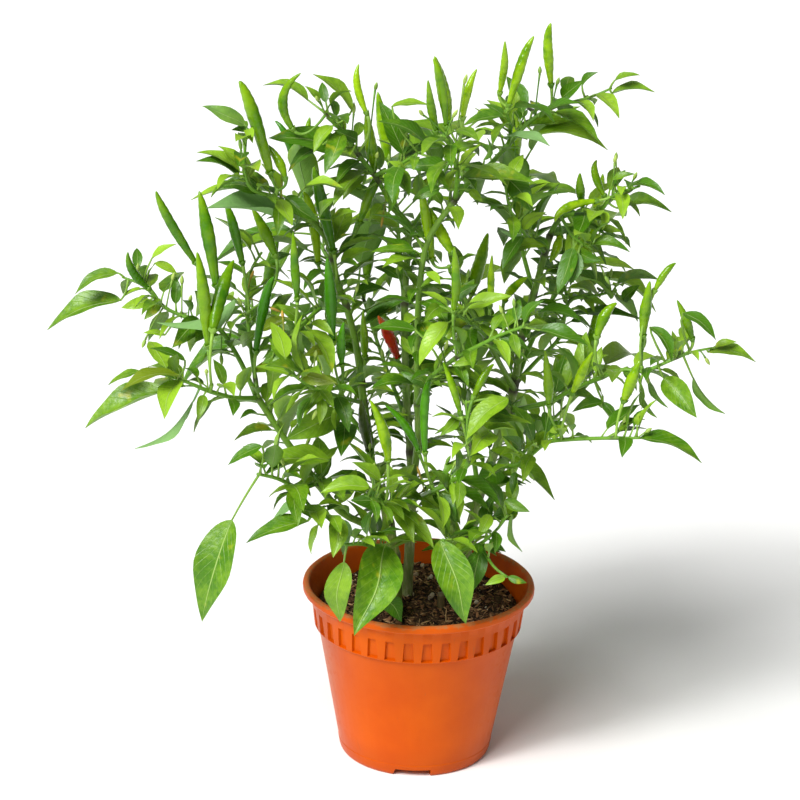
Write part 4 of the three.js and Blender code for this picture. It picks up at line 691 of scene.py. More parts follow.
# A leaf from its foot on a limb, over its stalk, to its tip. Its upper face looks along face.
# The midrib is base + t (tip - base) + arch length sin(pi t) normal, and the edges lift by fold.
def leafFrom(node, foot, base, tip, width, face):
    length = np.linalg.norm(tip - base)
    normal, side = frameOf((tip - base) / length, face)
    steps = max(3, math.ceil(length / ballStep["blade"]))
    balls = [stalkBalls(foot, base, leafForm["stalkRadius"], node)]
    number, kind = nodeNumbers[node], kindNumber["blade"]
    for t in (np.arange(1, steps + 1) - 0.25) / steps:
        half = width / 2 * bladeShape(t)
        middle = base + (tip - base) * t + normal * leafForm["arch"] * length * math.sin(math.pi * t)
        beside = int(half / leafForm["ballGap"])
        for s in np.arange(-beside, beside + 1) * leafForm["ballReach"] / max(1, beside):
            at = middle + side * s * half + normal * leafForm["fold"] * half * abs(s)
            balls.append([[*at, keepOff["blade"], number, kind]])
    return {"balls": np.concatenate(balls), "foot": foot, "base": base, "tip": tip, "width": width,
            "normal": normal, "side": side, "length": length}


# The ways to turn a read leaf out of the way, as changes of its base's and its tip's depth.
leafWays = [(0, 0), (0, -14), (0, 14), (-8, -22), (8, 22), (-8, -36), (8, 36), (-16, -30), (16, 30),
            (-16, -52), (16, 52), (-26, -40), (26, 40), (-30, -66), (30, 66)]


# A leaf read from the view. What its width as seen lacks in length is hidden: the tip leans towards the
# eye by sqrt((width / slenderness)^2 - length^2). The blade turns round its length until it shows the
# share of its width that was read.
def readLeaf(node, row, seed):
    baseX, baseY, tipX, tipY, widthSeen = row[:5]
    face = row[5] if len(row) > 5 else 1
    start = nearestOnLimbs(baseX, baseY, node)
    depth = start["point"][1]

    def make(way):
        baseShift, tipShift, scale = way
        base = spot(baseX, baseY, depth + baseShift)
        millimetres = seenAt(base)[2]
        seenLength = math.hypot(tipX - baseX, tipY - baseY) * millimetres
        seenWidth = widthSeen * millimetres
        hidden = math.sqrt(max(0, (seenWidth / leafForm["slenderness"]) ** 2 - seenLength ** 2))
        drawn = leafForm["leanShare"] * seenLength * (draw(seed) - 0.2)
        lean = row[6] if len(row) > 6 else -max(hidden, drawn)
        tip = base + (spot(tipX, tipY, depth + lean + tipShift) - base) * scale
        length = np.linalg.norm(tip - base)
        least, most = leafForm["slenderness"] * length, leafForm["widest"] * length
        width = min(max(seenWidth, least), most) * scale
        towards, beside = frameOf((tip - base) / length, unit(eye - base))
        opened = min(1, max(leafForm["leastOpen"], seenWidth / width))
        turn = math.sqrt(1 - opened * opened)
        if beside[2] * face < 0:
            beside = -beside
        normal = (towards * opened + beside * turn * face) * face
        # A blade that shows its underside still looks up, unless it is turned right over
        if face < 0 and normal[2] < 0 and turn > 0.5:
            normal = normal + beside * 2 * turn
        organ = leafFrom(node, start["point"], base, tip, width, unit(normal))
        return dict(organ, pixel=(tipX, tipY))

    scales = (1, leafForm["smaller"])
    return firstClear([(*way, scale) for scale in scales for way in leafWays], make)


# Whether a pixel lies inside the crown's outline: a line from it crosses the outline an odd number of
# times.
def insideOutline(x, y):
    inside = False
    for (x0, y0), (x1, y1) in zip(crownOutline, crownOutline[1:] + crownOutline[:1]):
        if (y0 > y) != (y1 > y) and x < x0 + (y - y0) / (y1 - y0) * (x1 - x0):
            inside = not inside
    return inside


# Whether the view shows a point inside the crown's outline and out of its gaps.
def fitsTheView(point):
    x, y = seenAt(point)[:2]
    return insideOutline(x, y) and all(math.hypot(x - cx, y - cy) > r for cx, cy, r in crownGaps)


# Whether a blade fits the view at its base, at a share of its length and at its tip.
def bladeFits(base, tip, probe):
    return all(fitsTheView(point) for point in (base, base + (tip - base) * probe, tip))


# The point at a share of a limb's length, and the limb's direction there.
def alongLimb(limb, share):
    points = limb["points"]
    lengths = np.linalg.norm(np.diff(points, axis=0), axis=1)
    left = share * lengths.sum()
    i = 0
    while i < len(lengths) - 1 and left > lengths[i]:
        left -= lengths[i]
        i += 1
    step = points[i + 1] - points[i]
    return points[i] + step * left / lengths[i], unit(step)


# Leaves round a limb by the golden angle, each turned on until it is clear. A leaf heads out of the limb
# by cos(turn) a + sin(turn) b, with some of the limb's own direction, and its tip droops.
def ruleLeaves(node, count, seed):
    limb = next(limb for limb in limbsInSpace if limb["node"] == node)
    leaves = []
    for k in range(count):
        share = ruleLeaf["first"] + (1 - ruleLeaf["first"]) * (k + 1) / count
        foot, direction = alongLimb(limb, min(share, lastShare))
        length = ruleLeaf["length"] + ruleLeaf["lengthSpread"] * draw(seed + 3 * k)
        stalk = ruleLeaf["stalk"] + ruleLeaf["stalkSpread"] * draw(seed + 3 * k + 1)
        tilt = ruleLeaf["tilt"] * (draw(seed + 3 * k + 2) - 0.5)
        a, b = frameOf(direction, up)

        def make(i):
            turn = goldenAngle * (k + seed) + i * ruleLeaf["turnStep"]
            scale = 1 if i < ruleLeaf["tries"] / 2 else ruleLeaf["smaller"]
            out = a * math.cos(turn) + b * math.sin(turn)
            onward = 1 if k + 1 == count else ruleLeaf["along"]
            heading = unit(direction * onward + out - up * ruleLeaf["droop"])
            base = foot + heading * stalk + up * ruleLeaf["lift"]
            tip = base + unit(heading - up * ruleLeaf["tipDroop"]) * length * scale
            if not bladeFits(base, tip, ruleLeaf["probe"]):
                return None
            face = up + np.cross(out, direction) * tilt
            return leafFrom(node, foot, base, tip, leafForm["slenderness"] * length * scale, face)

        leaves.append(firstClear(range(ruleLeaf["tries"]), make))
    return [leaf for leaf in leaves if leaf]


# Points of the quadratic curve from a over the bend to b: (1-t)^2 a + 2t(1-t) bend + t^2 b.
def curveAt(a, bend, b, t):
    t = np.asarray(t, float)[..., None]
    return (1 - t) ** 2 * a + 2 * t * (1 - t) * bend + t ** 2 * b


# A chilli's radius along its length, as a share of its greatest.
chilliTaper = np.array([0.8, 0.95, 1, 0.9, 0.6, 0.1])


# A chilli from its foot, over its stalk and calyx, along a curve through its middle to its tip.
def chilliFrom(node, foot, base, middle, tip, width):
    bend = 2 * middle - 0.5 * base - 0.5 * tip
    rise = unit(bend - base)
    neck = base - rise * chilliForm["neck"]
    along = curveAt(base, bend, tip, np.linspace(0, 1, len(chilliTaper)))
    balls = np.concatenate([stalkBalls(foot, neck, chilliForm["stalkRadius"], node),
                            ballsAlong(along, width / 2 * chilliTaper, node, "chilli")])
    return {"balls": balls, "node": node, "foot": foot, "base": base, "bend": bend, "tip": tip,
            "neck": neck, "rise": rise, "width": width}


# Upright chillies on a limb, each turned on round the vertical until it is clear.
def ruleChillies(node, count, seed):
    limb = next(limb for limb in limbsInSpace if limb["node"] == node)
    made = []
    for k in range(count):
        foot, direction = alongLimb(limb, ruleChilli["first"] + ruleChilli["reach"] * (k + 1) / count)
        lean = ruleChilli["lean"] + ruleChilli["leanSpread"] * draw(seed + k)
        width = ruleChilli["width"] + ruleChilli["widthSpread"] * draw(seed + k + 9)

        def make(i):
            turn = ruleChilli["turnStep"] * i + seed
            out = np.array([math.cos(turn), math.sin(turn), 0])
            base = foot + out * ruleChilli["out"] + up * ruleChilli["rise"]
            tip = base + out * lean + up * ruleChilli["length"]
            middle = (base + tip) / 2 + direction * ruleChilli["bend"]
            return chilliFrom(node, foot, base, middle, tip, width)

        made.append(firstClear(range(ruleChilli["tries"]), make))
    return [organ for organ in made if organ]


# A bud nods at the end of a thin stalk, from a share of the way between its foot and its end.
def budBetween(node, foot, end, pixel=(0, 0)):
    neck = foot + (end - foot) * budForm["neck"]
    radii = [budForm["radius"]] * 2
    balls = np.concatenate([stalkBalls(foot, neck, budForm["stalkRadius"], node),
                            ballsAlong([neck, end], radii, node, "bud")])
    return {"balls": balls, "foot": foot, "end": end, "pixel": pixel}


# A bud read from the view, shifted in depth until it is clear.
def budFrom(node, row, depths=(0, -8, 8, -16, 16, -26, 26)):
    footX, footY, endX, endY = row
    foot = nearestOnLimbs(footX, footY, node)["point"]

    def make(shift):
        return budBetween(node, foot, spot(endX, endY, foot[1] + shift), (endX, endY))

    return firstClear(depths, make)


# Placing, in the order of the solids: fruits, read leaves, buds, far fruits and the leaves by rule.
fruitWays = [0, -6, 6, -12, 12, -20, 20, -28, 28, -38, 38, -50, 50]  # shifts in depth, to be clear
leaves = {node: [] for node in sprays}
buds = {node: [] for node in sprays}
fruits = []  # each with its owner's node, its skin and the pixel of its tip, if it was read
sharedStalks = []


# How many leaves and buds there are so far.
def countOf(organs):
    return sum(map(len, organs.values()))


# Adds the leaves of a node that were read from the view, where they find room.
def addLeaves(node, rows, seed):
    placed = [readLeaf(node, row, seed + i) for i, row in enumerate(rows)]
    leaves[node] += [leaf for leaf in placed if leaf]


# Adds the buds of a node that were read from the view, where they find room.
def addBuds(node, rows):
    buds[node] += [bud for bud in (budFrom(node, row) for row in rows) if bud]


for node, skin, footPixel, chillies in bunches:
    start = nearestOnLimbs(*footPixel, "")
    owner = node or start["node"]
    foot = start["point"]
    depth = foot[1]
    # Two chillies share a short stalk, which heads for both and out of the limb towards the eye
    if len(chillies) > 1:
        heading = unit(sum(unit(spot(row[4], row[5], depth) - foot) for row in chillies))
        onward = start["direction"] * chilliForm["across"] * (heading @ start["direction"])
        heading = unit(heading - onward - forward * chilliForm["forward"])
        fork = foot + heading * (start["radius"] + chilliForm["sharedStalk"])
        sharedStalks.append({"owner": owner, "foot": foot, "fork": fork})
        foot = fork - heading
    for tipX, tipY, midX, midY, baseX, baseY, widthSeen, lean in chillies:
        def make(shift):
            base = spot(baseX, baseY, depth + shift * 0.6)
            middle = spot(midX, midY, depth + lean * 0.5 + shift * 0.8)
            tip = spot(tipX, tipY, depth + lean + shift)
            return chilliFrom(owner, foot, base, middle, tip, widthSeen * seenAt(base)[2])

        organ = firstClear(fruitWays, make)
        if organ:
            fruits.append(dict(organ, colour=skin, pixel=(tipX, tipY)))

for number, (node, spray) in enumerate(sprays.items()):
    addLeaves(node, spray.get("leaves", []), 20 * number)
for number, (node, spray) in enumerate(sprays.items()):
    addBuds(node, spray.get("buds", []))
    for organ in ruleChillies(node, spray.get("chilliesByRule", 0), 60 + number):
        fruits.append(dict(organ, colour="chilli", pixel=(0, 0)))
for number, (node, spray) in enumerate(sprays.items()):
    leaves[node] += ruleLeaves(node, spray.get("leavesByRule", 0), 40 * number + 7)
print("placed", countOf(leaves), "leaves,", len(fruits), "fruits,", countOf(buds), "buds")

for number, (node, rows) in enumerate(tinyLeaves.items()):
    addLeaves(node, rows, 900 + 20 * number)
for node, rows in moreBuds.items():
    addBuds(node, rows)

# Points along the fruits that were read: where the view shows them, and how far off they lie.
fruitsSeen = []
for fruit in fruits:
    if fruit["pixel"] != (0, 0):
        for at in curveAt(fruit["base"], fruit["bend"], fruit["tip"], np.linspace(0, 1, 9)):
            fruitsSeen.append([*seenAt(at)[:2], (at - eye) @ forward])
fruitsSeen = np.array(fruitsSeen)


# Whether a point lies before a fruit that was read, as the view shows it.
def hidesFruit(point):
    x, y = seenAt(point)[:2]
    near = np.hypot(fruitsSeen[:, 0] - x, fruitsSeen[:, 1] - y) < fillLeaf["offFruit"]
    return bool((near & (fruitsSeen[:, 2] > (point - eye) @ forward)).any())


# Whether a point lies inside the box of the solids.
def insideBox(point):
    low = np.array(cadBox[0]) / mm + fillLeaf["inside"]
    high = np.array(cadBox[1]) / mm - fillLeaf["inside"]
    return bool((point > low).all() and (point < high).all())


# Small leaves and buds that fill the crown: along every limb by the golden angle, each turned on until
# it is clear of all that is placed and keeps the gaps that the view shows.
def fillLimb(limb, seed):
    node = limb["node"]
    length = np.linalg.norm(np.diff(limb["points"], axis=0), axis=1).sum()
    first = fillLeaf["firstOnStem" if limb["isStem"] else "first"]
    count = int(length * (1 - first) / fillLeaf["step"])
    for k in range(count):
        share = first + (lastShare - first) * (k + 0.5) / count
        foot, direction = alongLimb(limb, share)
        drawn = draw(seed + 5 * k) ** fillLeaf["lengthPower"]
        size = fillLeaf["length"] + fillLeaf["lengthSpread"] * drawn
        stalk = fillLeaf["stalk"] + fillLeaf["stalkSpread"] * draw(seed + 5 * k + 1)
        droop = fillLeaf["droopSpread"] * draw(seed + 5 * k + 2)
        tilt = fillLeaf["tilt"] * (draw(seed + 5 * k + 3) - 0.5)
        a, b = frameOf(direction, up)

        def make(i):
            turn = goldenAngle * (k + seed) + i * fillLeaf["turnStep"]
            scale = 1 - fillLeaf["shrink"] * i / fillLeaf["tries"]
            out = a * math.cos(turn) + b * math.sin(turn)
            heading = unit(direction * fillLeaf["stalkAlong"] + out)
            base = foot + heading * stalk + up * fillLeaf["lift"]
            heading = unit(direction * fillLeaf["along"] + out - up * droop)
            tip = base + heading * size * scale
            if not insideBox(tip) or not bladeFits(base, tip, fillLeaf["probe"]):
                return None
            face = up + np.cross(out, direction) * tilt
            leaf = leafFrom(node, foot, base, tip, fillLeaf["slenderness"] * size * scale, face)
            hides = any(hidesFruit(ball[:3]) for ball in leaf["balls"])
            return None if hides else dict(leaf, fills=True)

        leaf = firstClear(range(fillLeaf["tries"]), make)
        if leaf:
            leaves.setdefault(node, []).append(leaf)
    for k in range(int(length / fillBud["step"])):
        foot, direction = alongLimb(limb, fillBud["first"] + fillBud["reach"] * draw(seed + 7 * k + 4))
        rise = fillBud["rise"] + fillBud["riseSpread"] * draw(seed + 7 * k + 5)

        def makeBud(i):
            turn = drawnTurn * draw(seed + 7 * k + 6) + i
            out = np.array([math.cos(turn), math.sin(turn), 0]) * fillBud["lean"]
            end = foot + up * rise + out
            return budBetween(node, foot, end) if fitsTheView(end) and insideBox(end) else None

        bud = firstClear(range(fillBud["tries"]), makeBud)
        if bud:
            buds.setdefault(node, []).append(bud)


for number, limb in enumerate(limbsInSpace):
    fillLimb(limb, 31 * number + 11)
print("with the small ones", countOf(leaves), "leaves,", countOf(buds), "buds")


# Materials. Noise scales are to a metre, and bump distances in metres.
# A hex colour as linear values: c / 12.92 up to 0.04045, and above it ((c + 0.055) / 1.055)^2.4.
def colour(text):
    c = np.array([int(text[i:i + 2], 16) for i in (0, 2, 4)]) / 255
    return (*np.where(c <= 0.04045, c / 12.92, ((c + 0.055) / 1.055) ** 2.4), 1)


# A material, its shader, and add, which makes a node with its inputs set or joined and gives an output.
def startMaterial(name, **shader):
    material = bpy.data.materials.new(name)
    material.use_nodes = True
    tree = material.node_tree
    principled = tree.nodes["Principled BSDF"]
    for key, value in shader.items():
        principled.inputs[key.replace("_", " ")].default_value = value

    def add(kind, inputs, output=0, **settings):
        made = tree.nodes.new(kind)
        for key, value in settings.items():
            setattr(made, key, value)
        for key, value in inputs.items():
            if isinstance(value, bpy.types.NodeSocket):
                tree.links.new(value, made.inputs[key])
            else:
                made.inputs[key].default_value = value
        return made.outputs[output]

    return material, principled, add


# One step of arithmetic with a value, or with two.
def mathNode(add, operation, a, b=0.0):
    return add("ShaderNodeMath", {0: a, 1: b}, operation=operation)


def plus(add, a, b):
    return mathNode(add, "ADD", a, b)


def minus(add, a, b):
    return mathNode(add, "SUBTRACT", a, b)


def times(add, a, b):
    return mathNode(add, "MULTIPLY", a, b)


# Two colours blended: a (1 - factor) + b factor.
def mixed(add, factor, a, b):
    return add("ShaderNodeMix", {0: factor, 6: a, 7: b}, output=2, data_type="RGBA")


# A value carried from the range low to high into the range toLow to toHigh, and held at its ends.
def spread(add, value, low, high, toLow=0.0, toHigh=1.0):
    return add("ShaderNodeMapRange", {0: value, 1: low, 2: high, 3: toLow, 4: toHigh})


# Fractal noise from 0 to 1, of so many octaves.
def noise(add, where, scale, detail=3.0, rough=0.55):
    inputs = {"Vector": where, "Scale": scale, "Detail": detail, "Roughness": rough}
    return add("ShaderNodeTexNoise", inputs)


# The number that the mesh keeps under a name.
def attribute(add, name):
    return add("ShaderNodeAttribute", {}, output=2, attribute_name=name)


# The place on the object, in metres.
def objectPlace(add):
    return add("ShaderNodeTexCoord", {}, output=3)


# The place on the piece's own map: u in 0 and v in 1.
def mapPlace(add):
    return add("ShaderNodeUVMap", {}, uv_map="UVMap")


# The x, y and z of a vector.
def splitUp(principled, vector):
    tree = principled.id_data
    parts = tree.nodes.new("ShaderNodeSeparateXYZ")
    tree.links.new(vector, parts.inputs[0])
    return parts.outputs


# Joins a colour, a roughness and a bump's height to the shader, where they are given.
def joinUp(principled, add, base, roughness=None, bump=None, strength=0.2, distance=0.0005):
    tree = principled.id_data
    tree.links.new(base, principled.inputs["Base Color"])
    if roughness is not None:
        tree.links.new(roughness, principled.inputs["Roughness"])
    if bump is not None:
        normal = add("ShaderNodeBump", {"Height": bump, "Strength": strength, "Distance": distance})
        tree.links.new(normal, principled.inputs["Normal"])


# Blades: a tone over paleFrom is a pale leaf, whose own green is worked out from the tone less paleDrop.
leafLook = {"dark": "437402", "light": "92BA26", "young": "90BC28", "yellow": "D2C828",
            "under": "709A3C", "pale": "84B066", "vein": "B0CE60", "underVein": "B9D39A",
            "stalk": "7FA83A", "softScale": 38, "fineScale": 210, "blotchScale": 55,
            "fineShare": 0.65, "blotchShare": 0.55, "sideVeins": 9, "slant": 2.8,
            "sideVeinShare": 0.24, "veinShare": 0.55, "underVeinShare": 0.2,
            "roughness": 0.37, "underRoughness": 0.62, "specular": 0.42, "paleFrom": 1.03,
            "paleDrop": 0.8, "fineBump": 0.8, "bump": 0.6, "bumpDistance": 0.0013}


# Two greens by each leaf's tone and soft noise, a pale midrib, side veins where fract(u count - |v|
# slant) is far from a half, pale undersides where mark is 1, and a few yellow blotches.
def leafMaterial():
    look = leafLook
    material, principled, add = startMaterial("leafBlade", Specular_IOR_Level=look["specular"])
    parts = splitUp(principled, mapPlace(add))
    u, v = parts[0], mathNode(add, "ABSOLUTE", parts[1])
    place = objectPlace(add)
    tone, under = attribute(add, "tone"), attribute(add, "mark")
    soft, fine = noise(add, place, look["softScale"]), noise(add, place, look["fineScale"])
    isPale = mathNode(add, "GREATER_THAN", tone, look["paleFrom"])
    own = minus(add, tone, times(add, isPale, look["paleDrop"]))
    mottled = plus(add, soft, times(add, minus(add, fine, 0.5), look["fineShare"]))
    light = spread(add, plus(add, own, mottled), 0.62, 1.42)
    body = mixed(add, light, colour(look["dark"]), colour(look["light"]))
    body = mixed(add, spread(add, own, 0.75, 1.0, 0.0, 0.8), body, colour(look["young"]))
    blotch = spread(add, noise(add, place, look["blotchScale"], 2.0), 0.66, 0.78)
    body = mixed(add, times(add, blotch, look["blotchShare"]), body, colour(look["yellow"]))
    slanted = minus(add, times(add, u, look["sideVeins"]), times(add, v, look["slant"]))
    stripe = mathNode(add, "ABSOLUTE", minus(add, mathNode(add, "FRACT", slanted), 0.5))
    sideVein = times(add, spread(add, stripe, 0.43, 0.5), look["sideVeinShare"])
    veins = mathNode(add, "MAXIMUM", sideVein, spread(add, v, 0.05, 0.015))
    body = mixed(add, times(add, veins, look["veinShare"]), body, colour(look["vein"]))
    body = mixed(add, spread(add, u, 0.04, -0.02), body, colour(look["stalk"]))
    body = mixed(add, spread(add, tone, -0.1, -0.5, 0.0, 0.75), body, colour(look["yellow"]))
    base = mixed(add, under, body, colour(look["under"]))
    base = mixed(add, spread(add, tone, 1.05, 1.4), base, colour(look["pale"]))
    base = mixed(add, times(add, veins, look["underVeinShare"]), base, colour(look["underVein"]))
    roughness = spread(add, under, 0.0, 1.0, look["roughness"], look["underRoughness"])
    height = minus(add, times(add, fine, look["fineBump"]), veins)
    joinUp(principled, add, base, roughness, height, look["bump"], look["bumpDistance"])
    return material


# Fruit skins, and what they share. A fruit whose tone is below 0 turns purple.
fruitLooks = {
    "chilli": {"low": "3A7000", "high": "98C00E", "tip": "7EAA0A", "spots": "447C02"},
    "darkChilli": {"low": "347200", "high": "569C08", "tip": "488A08", "spots": "346602"},
    "redChilli": {"low": "B01408", "high": "D8321A", "tip": "E0741A", "spots": "8C1006"},
}
fruitSkin = {"softScale": 55, "spotScale": 90, "wrinkleScales": (190, 520), "tipShare": 0.65,
             "spotShare": 0.7, "purple": "34181A", "roughness": (0.16, 0.27), "specular": 0.34,
             "bump": 0.32, "bumpDistance": 0.0008}


# Low to high colour by tone and noise, towards the tip's colour along u, which runs from the calyx to
# the tip, with soft darker spots and fine wrinkles.
def fruitMaterial(name, look):
    skin = fruitSkin
    material, principled, add = startMaterial(name, Specular_IOR_Level=skin["specular"])
    parts = splitUp(principled, mapPlace(add))
    place = objectPlace(add)
    tone = attribute(add, "tone")
    soft = noise(add, place, skin["softScale"])
    light = spread(add, plus(add, tone, soft), 0.6, 1.45)
    base = mixed(add, light, colour(look["low"]), colour(look["high"]))
    towardsTip = spread(add, parts[0], 0.55, 1.05, 0.0, skin["tipShare"])
    base = mixed(add, towardsTip, base, colour(look["tip"]))
    spots = spread(add, noise(add, place, skin["spotScale"], 2.0), 0.5, 0.7, 0.0, skin["spotShare"])
    base = mixed(add, spots, base, colour(look["spots"]))
    base = mixed(add, spread(add, tone, -0.1, -0.5), base, colour(skin["purple"]))
    wrinkles = plus(add, *[noise(add, place, scale, 2.0) for scale in skin["wrinkleScales"]])
    roughness = spread(add, soft, 0.3, 0.7, *skin["roughness"])
    joinUp(principled, add, base, roughness, wrinkles, skin["bump"], skin["bumpDistance"])
    return material


# Stalks, calyces and buds: low to high colour by tone and soft noise, with fine grains, and dried to
# tan as far as mark says.
stalkLook = {"dry": "C79A3A", "softScale": 120, "grainScale": 500, "specular": 0.4, "bump": 0.25,
             "bumpDistance": 0.0004}


def stalkMaterial(name, low, high, roughness):
    look = stalkLook
    material, principled, add = startMaterial(name, Roughness=roughness,
                                              Specular_IOR_Level=look["specular"])
    place = objectPlace(add)
    soft = noise(add, place, look["softScale"])
    light = spread(add, plus(add, attribute(add, "tone"), soft), 0.6, 1.4)
    base = mixed(add, light, colour(low), colour(high))
    base = mixed(add, attribute(add, "mark"), base, colour(look["dry"]))
    grains = noise(add, place, look["grainScale"], 2.0)
    joinUp(principled, add, base, None, grains, look["bump"], look["bumpDistance"])
    return material


# Bark: green where a limb is thin (tone grows with its radius), brown and scarred where it is thick,
# with lengthwise streaks, and purple-black where mark says that a fork is near.
barkLook = {"streak": "3A4416", "fork": "38222A", "streakScale": 420, "stretch": (1, 1, 0.16),
            "softScale": 60, "softShare": 0.5, "scarShare": 0.75, "streakShare": 0.45, "forkShare": 0.8,
            "roughness": (0.42, 0.72), "specular": 0.35, "bump": 0.6, "bumpDistance": 0.0006}


def barkMaterial(name, green, brown, scar):
    look = barkLook
    material, principled, add = startMaterial(name, Specular_IOR_Level=look["specular"])
    place = objectPlace(add)
    tone, fork = attribute(add, "tone"), attribute(add, "mark")
    stretched = add("ShaderNodeMapping", {"Vector": place, "Scale": look["stretch"]})
    streaks = noise(add, stretched, look["streakScale"], 4.0, 0.65)
    soft = noise(add, place, look["softScale"])
    woody = spread(add, plus(add, tone, times(add, soft, look["softShare"])), 0.8, 1.2)
    base = mixed(add, woody, colour(green), colour(brown))
    scars = times(add, times(add, spread(add, streaks, 0.52, 0.68), woody), look["scarShare"])
    base = mixed(add, scars, base, colour(scar))
    dark = spread(add, streaks, 0.46, 0.3, 0.0, look["streakShare"])
    base = mixed(add, dark, base, colour(look["streak"]))
    patchy = times(add, fork, spread(add, noise(add, place, look["softScale"], 2.0), 0.32, 0.55))
    purple = spread(add, patchy, 0.25, 0.8, 0.0, look["forkShare"])
    base = mixed(add, purple, base, colour(look["fork"]))
    roughness = spread(add, woody, 0.0, 1.0, *look["roughness"])
    joinUp(principled, add, base, roughness, streaks, look["bump"], look["bumpDistance"])
    return material


# Pot plastic: orange, slightly mottled, browner below brownTo and worn to tan on the lip, from lipFrom
# to lipTo, with fine scuffs along the sides. Heights are in metres.
potLook = {"orange": "C24C00", "light": "CE5800", "brown": "9C4010", "tan": "A86C3E", "dust": "80542E",
           "brownTo": 0.03, "lipFrom": 0.1508, "lipTo": 0.1545, "softScale": 14, "fineScale": 160,
           "scuffScale": 210, "scuffStretch": (1, 1, 0.1), "brownShare": 0.45, "scuffShare": 0.35,
           "tanShare": 0.85, "roughness": 0.33, "wornRoughness": 0.7, "specular": 0.13, "bump": 0.08,
           "bumpDistance": 0.0005}


def potMaterial():
    look = potLook
    material, principled, add = startMaterial("orangePlastic", Specular_IOR_Level=look["specular"])
    place = objectPlace(add)
    height = splitUp(principled, place)[2]
    soft = noise(add, place, look["softScale"], 4.0)
    fine = noise(add, place, look["fineScale"], 4.0, 0.65)
    base = mixed(add, spread(add, soft, 0.35, 0.68), colour(look["orange"]), colour(look["light"]))
    low = spread(add, height, look["brownTo"], 0.0, 0.0, look["brownShare"])
    base = mixed(add, low, base, colour(look["brown"]))
    stretched = add("ShaderNodeMapping", {"Vector": place, "Scale": look["scuffStretch"]})
    scuffs = noise(add, stretched, look["scuffScale"], 5.0, 0.7)
    scuffs = spread(add, scuffs, 0.66, 0.74, 0.0, look["scuffShare"])
    base = mixed(add, scuffs, base, colour(look["dust"]))
    patches = spread(add, fine, 0.42, 0.62, -0.35, 0.25)
    lip = plus(add, spread(add, height, look["lipFrom"], look["lipTo"]), patches)
    base = mixed(add, spread(add, lip, 0.45, 1.0, 0.0, look["tanShare"]), base, colour(look["tan"]))
    worn = plus(add, scuffs, lip)
    roughness = spread(add, worn, 0.0, 1.2, look["roughness"], look["wornRoughness"])
    joinUp(principled, add, base, roughness, fine, look["bump"], look["bumpDistance"])
    return material


# Potting mix: dark peat with brown crumbs and tan specks, rough.
soilLook = {"peat": "1A110B", "brown": "523A26", "tan": "A07E5A", "crumbScale": 130, "speckScale": 520,
            "tanShare": 0.7, "roughness": 0.95, "specular": 0.15, "bump": 0.9, "bumpDistance": 0.002}


def soilMaterial():
    look = soilLook
    material, principled, add = startMaterial("pottingMix", Roughness=look["roughness"],
                                              Specular_IOR_Level=look["specular"])
    place = objectPlace(add)
    crumbs = noise(add, place, look["crumbScale"], 6.0, 0.7)
    specks = noise(add, place, look["speckScale"])
    base = mixed(add, spread(add, crumbs, 0.38, 0.62), colour(look["peat"]), colour(look["brown"]))
    base = mixed(add, spread(add, specks, 0.56, 0.7, 0.0, look["tanShare"]), base, colour(look["tan"]))
    joinUp(principled, add, base, None, plus(add, crumbs, specks), look["bump"], look["bumpDistance"])
    return material


# Loose grains: low to high colour from grain to grain by tone, with a fine noise.
grainLook = {"scale": 330, "specular": 0.25, "bump": 0.5, "bumpDistance": 0.001}


def grainMaterial(name, low, high, roughness):
    look = grainLook
    material, principled, add = startMaterial(name, Roughness=roughness,
                                              Specular_IOR_Level=look["specular"])
    fine = noise(add, objectPlace(add), look["scale"], 4.0)
    light = spread(add, plus(add, attribute(add, "tone"), fine), 0.5, 1.5)
    base = mixed(add, light, colour(low), colour(high))
    joinUp(principled, add, base, None, fine, look["bump"], look["bumpDistance"])
    return material


leafSkin = leafMaterial()
stalkGreen = stalkMaterial("stalkGreen", "5B8A22", "8DB544", 0.45)
budGreen = stalkMaterial("budGreen", "5E9028", "B4CC62", 0.5)
fruitSkins = {key: fruitMaterial(key + "Skin", look) for key, look in fruitLooks.items()}
# A bark's name, its green, its brown and the colour of its scars
barks = {
    "stem_left": barkMaterial("barkBrownGreen", "6A9428", "6E8232", "A0A45C"),
    "stem_middle": barkMaterial("barkGreyScarred", "6E9432", "7E8A50", "C0BE94"),
    "stem_right": barkMaterial("barkGreyGreen", "709634", "7C8A4E", "BCBA90"),
    "stem_stub": barkMaterial("barkDry", "6C6040", "6B5A3C", "8E7E62"),
}
twigBark = barkMaterial("twigGreen", "669628", "5E8030", "8C9C50")
print("materials ready")


# Stems and twigs. twist is radians of a limb's ridges to a millimetre.
stemForm = {"sides": 16, "twigSides": 8, "step": 3.5, "twigStep": 5, "stemReach": 22, "twigReach": 9,
            "swell": 0.2, "forkReach": 4.5, "ridges": 0.05, "twist": 0.012, "lumps": 0.05,
            "lumpSize": 9, "toneRadius": 5}

# Where limbs and fruits leave a limb
forks = [limb["points"][0] for limb in limbsInSpace if not (limb["isStem"] and limb["isFirst"])]
forks = np.array(forks + [organ["foot"] for organ in fruits])


